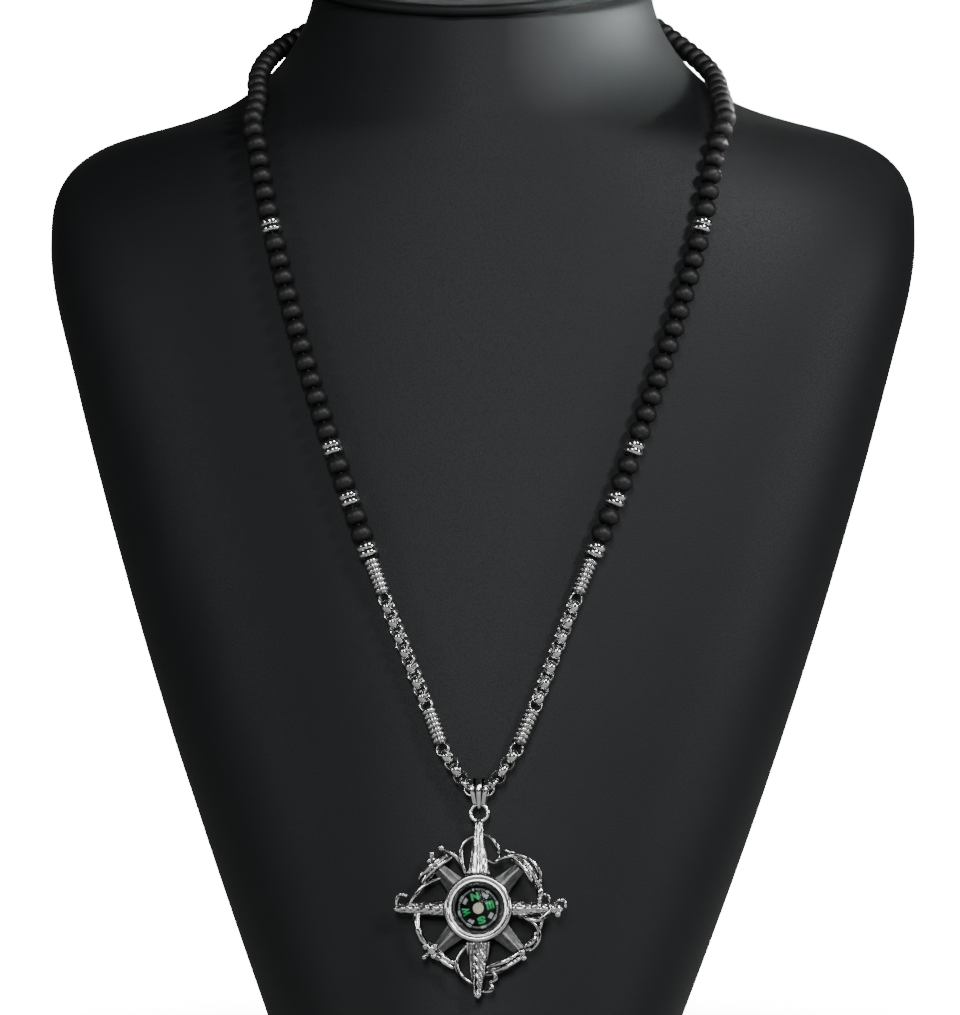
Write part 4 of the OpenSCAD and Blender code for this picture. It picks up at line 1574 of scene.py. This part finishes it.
        def shape(turn: float, t: float) -> tuple[Vector, float]:
            """Gives the point's surface."""
            z = self.start_radius + (blade.reach + blade.tip_half * 0.8 - self.start_radius) * t
            half = blade.tip_half + (blade.base_half - blade.tip_half) * (1 - t) ** blade.taper
            rise = clamp((z - self.rim_radius + 0.25) / 0.5)
            front = self.under_rim + (self.point_front - 1.1 * t - self.under_rim) * rise
            back = self.point_back - 0.7 * t
            if t > self.tip_share:
                close = math.sqrt(max(1 - ((t - self.tip_share) / (1 - self.tip_share)) ** 2, 0.01))
                half, front, back = half * close, front * close, back * close
            side, depth = math.cos(turn), math.sin(turn)
            x = half * signed_power(side, 0.85)
            y = -front * depth ** 0.9 if depth > 0 else back * abs(depth) ** 0.5
            height = self.carved(blade.kind, x, z, half)
            facing = max(depth, 0.0) ** 0.5
            y -= self.relief[blade.kind] * height * facing * rise
            x += 0.06 * height * math.copysign(1.0, side) * (1 - facing)
            tone = 0.18 + (0.42 + 0.36 * height) * facing * rise
            return turn_matrix @ Vector((x, y, z)), clamp(tone)

        Tube.lay(piece, shape)
        return piece

    def add_short_point(self, name: str, turn: float) -> Piece:
        """Makes a short, low point behind the wreath, pointing up, and turns it to its place.

        Args:
            name: The piece's name.
            turn: Its turn from the top, in degrees.

        Returns:
            The point.
        """
        piece = Tube.add(name, sides=40, rings=36)
        turn_matrix = Matrix.Rotation(math.radians(turn), 3, "Y")

        def shape(around: float, t: float) -> tuple[Vector, float]:
            """Gives the point's surface."""
            z = self.start_radius + (self.wreath_radius - 0.4 - self.start_radius) * t
            half = self.short_half + (self.short_tip_half - self.short_half) * t ** 0.8
            side, depth = math.cos(around), math.sin(around)
            x = half * signed_power(side, 0.7)
            ridge = 0.45 * (1 - abs(x) / half)
            grain = self.ripple(Vector((x * 2.4 + turn, 0.0, z * 0.3)))
            y = -(0.02 + ridge + 0.03 * grain) * abs(depth) ** 0.4 if depth > 0 else 1.3 * abs(depth) ** 0.4
            return turn_matrix @ Vector((x, y, z)), 0.27 + 0.05 * grain

        Tube.lay(piece, shape)
        return piece

    def add_hub(self) -> Piece:
        """Makes the hub: an open drum with rounded edges, round the compass case.

        Returns:
            The hub.
        """
        Bench.clear()
        deep = self.hub_front - self.hub_back
        bpy.ops.mesh.primitive_cylinder_add(
            vertices=96, radius=self.hub_radius, depth=deep, end_fill_type="NOTHING",
            location=(0.0, -(self.hub_front + self.hub_back) / 2, 0.0), rotation=(math.radians(90), 0.0, 0.0))
        hub = Bench.made("hub")
        wall = hub.modifiers.new("wall", "SOLIDIFY")
        wall.thickness = self.hub_wall
        wall.offset = -1.0
        rounding = hub.modifiers.new("rounding", "BEVEL")
        rounding.width = self.edge_round
        rounding.segments = 2
        Bench.apply_modifiers(hub)
        Bench.carving(hub, height=0.3)
        return hub

    def add_ring(self) -> Piece:
        """Makes the hanging ring, cast to the top point.

        Returns:
            The ring.
        """
        Bench.clear()
        bpy.ops.mesh.primitive_torus_add(
            major_radius=self.ring_radius, minor_radius=self.ring_wire, major_segments=64, minor_segments=16,
            location=(0.0, 0.0, self.ring_height), rotation=(math.radians(90), 0.0, 0.0))
        ring = Bench.made("hanging_ring")
        Bench.carving(ring, height=0.75)
        return ring

    def build(self) -> Piece:
        """Builds the casting and puts it in its place.

        Returns:
            The one joined piece.
        """
        pieces = [self.add_hub(), self.add_ring()]
        pieces += [self.add_twig(f"rod_{i}", twig, sides=20, rings=48, lobes=0.2, twists=0.8)
                   for i, twig in enumerate(RODS)]
        pieces += [self.add_twig(f"tendril_{i}", twig, sides=14, rings=40, lobes=0.1, twists=1.6)
                   for i, twig in enumerate(TENDRILS)]
        pieces += [self.add_bud(f"bud_{i}", bud) for i, bud in enumerate(BUDS)]
        pieces += [self.add_blade(f"point_{i}", blade) for i, blade in enumerate(BLADES)]
        pieces += [self.add_short_point(f"short_point_{turn}", turn) for turn in self.short_turns]
        casting = Bench.join("pendant_metalwork", pieces)
        Bench.fix_normals(casting, self.merge)
        Bench.place(casting, self.lie.matrix())
        Bench.smooth(casting, self.shading)
        CAST_STEEL.put_on(casting)
        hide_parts("pendant_frame")
        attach(casting, Body.PENDANT.value)
        return casting


@dataclass(frozen=True)
class Mark:
    """A printed mark on the dial: its text, angle, radius, width and height."""

    text: str
    angle: float
    radius: float
    width: float
    height: float


@dataclass
class Dial:
    """The printing on the turning card."""

    lie: Lie = field(default_factory=Lie)
    face: float = 0.6
    film: float = 0.03
    turned: float = -16.0
    letter_radius: float = 3.25
    label_radius: float = 3.85
    number_radius: float = 5.08
    letter_size: tuple[float, float] = (2.2, 2.0)
    label_size: tuple[float, float] = (1.6, 1.0)
    digit_width: float = 0.42
    digit_height: float = 0.72
    number_margin: float = 0.15
    letter_weight: float = 0.06
    label_weight: float = 0.05
    tick_inner: float = 4.85
    tick_outer: float = 5.3
    tick_width: float = 0.12
    tick_step: int = 5
    merge: float = 0.0005

    def put(self, piece: Piece, angle: float, radius: float) -> None:
        """Turns a flat mark, made in X and Y, to its place on the card's face.

        Args:
            piece: The mark, standing on the origin with +Y outwards.
            angle: Degrees clockwise from the card's north.
            radius: Distance of its middle from the card's middle.
        """
        stand = Matrix.Translation(Vector((0.0, -self.face, 0.0))) @ Matrix.Rotation(math.radians(90), 4, "X")
        turn = Matrix.Rotation(math.radians(angle + self.turned), 4, "Y")
        piece.data.transform(turn @ stand @ Matrix.Translation(Vector((0.0, radius, 0.0))))

    def add_text(self, mark: Mark, weight: float) -> Piece:
        """Makes a mark from text and fits it to its size.

        Args:
            mark: The mark.
            weight: How far its strokes are thickened.

        Returns:
            The mark as a mesh.
        """
        Bench.clear()
        bpy.ops.object.text_add(location=(0.0, 0.0, 0.0))
        text = bpy.context.object
        text.data.body = mark.text
        text.data.offset = weight
        text.data.extrude = 0.5
        text.data.resolution_u = 3
        Bench.pick(text)
        bpy.ops.object.convert(target="MESH")
        piece = bpy.context.object
        piece.name = f"print_{mark.text}_{int(mark.angle)}"
        corners = [Vector(corner) for corner in piece.bound_box]
        low = Vector(min(c[i] for c in corners) for i in range(3))
        high = Vector(max(c[i] for c in corners) for i in range(3))
        size = high - low
        fit = Matrix.Diagonal((mark.width / size.x, mark.height / size.y, self.film / size.z, 1.0))
        base = Vector(((low.x + high.x) / 2, (low.y + high.y) / 2, low.z))
        piece.data.transform(fit @ Matrix.Translation(-base))
        self.put(piece, mark.angle, mark.radius)
        return piece

    def add_ticks(self) -> list[Piece]:
        """Makes the ring of ticks, with room left for the numbers.

        Returns:
            The ticks.
        """
        ticks = []
        for angle in range(0, 360, self.tick_step):
            if min(angle % 45, 45 - angle % 45) < 2 * self.tick_step:
                continue
            Bench.clear()
            bpy.ops.mesh.primitive_cube_add(size=1.0, location=(0.0, 0.0, 0.5))
            tick = Bench.made(f"tick_{angle}")
            long = self.tick_outer - self.tick_inner
            tick.data.transform(Matrix.Diagonal((self.tick_width, long, self.film, 1.0)))
            self.put(tick, angle, (self.tick_inner + self.tick_outer) / 2)
            ticks.append(tick)
        return ticks

    def finish(self, name: str, pieces: list[Piece], look: Finish) -> Piece:
        """Joins printed marks, places them and lets them turn with the card.

        Args:
            name: The joined piece's name.
            pieces: The marks.
            look: Their finish.

        Returns:
            The joined piece.
        """
        printed = Bench.join(name, pieces)
        Bench.fix_normals(printed, self.merge)
        Bench.place(printed, self.lie.matrix())
        look.put_on(printed)
        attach(printed, Body.CARD.value)
        return printed

    def build(self) -> list[Piece]:
        """Prints the luminous letters and the white labels, numbers and ticks.

        Returns:
            The printed pieces.
        """
        letters = [Mark(text, 90.0 * i, self.letter_radius, *self.letter_size)
                   for i, text in enumerate("NESW")]
        labels = [Mark(text, 45.0 + 90.0 * i, self.label_radius, *self.label_size)
                  for i, text in enumerate(("NE", "SE", "SW", "NW"))]
        numbers = []
        for angle in range(0, 360, 45):
            width = self.digit_width * len(str(angle)) + self.number_margin
            numbers.append(Mark(str(angle), float(angle), self.number_radius, width, self.digit_height))
        green = [self.add_text(mark, self.letter_weight) for mark in letters]
        white = [self.add_text(mark, self.label_weight) for mark in labels + numbers] + self.add_ticks()
        return [self.finish("dial_letters", green, Glow()), self.finish("dial_marks", white, WHITE_PRINT)]


def report(kind: str, pieces: Sequence[Piece]) -> None:
    """Logs each piece's name and how many faces it has.

    Args:
        kind: What the pieces are.
        pieces: The pieces.
    """
    for piece in pieces:
        log.info("%s %s, %d faces", kind, piece.name, len(piece.data.polygons))


def main() -> None:
    """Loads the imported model, dresses it and reports each piece."""
    logging.basicConfig(level=logging.INFO, format="%(name)s: %(message)s")
    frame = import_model()
    nodes = frame["nodes"]
    studio = Studio()
    studio.add_camera()
    studio.add_stage()
    studio.add_world()
    studio.add_lights()
    report("bust piece", BustDress().build(nodes))
    report("string piece", StringDress().build(nodes) + [BailDress().build(nodes["bail"])])
    report("casting", [Metalwork().build()])
    report("printed", Dial().build())
    RIM_STEEL.put_on(nodes["compass_case"])
    CAPSULE.put_on(nodes["compass_capsule"])
    CARD.put_on(nodes["compass_card"])
    CREAM.put_on(nodes["card_cap"])
    Glass().put_on(nodes["crystal"])


if __name__ == "__main__":
    main()
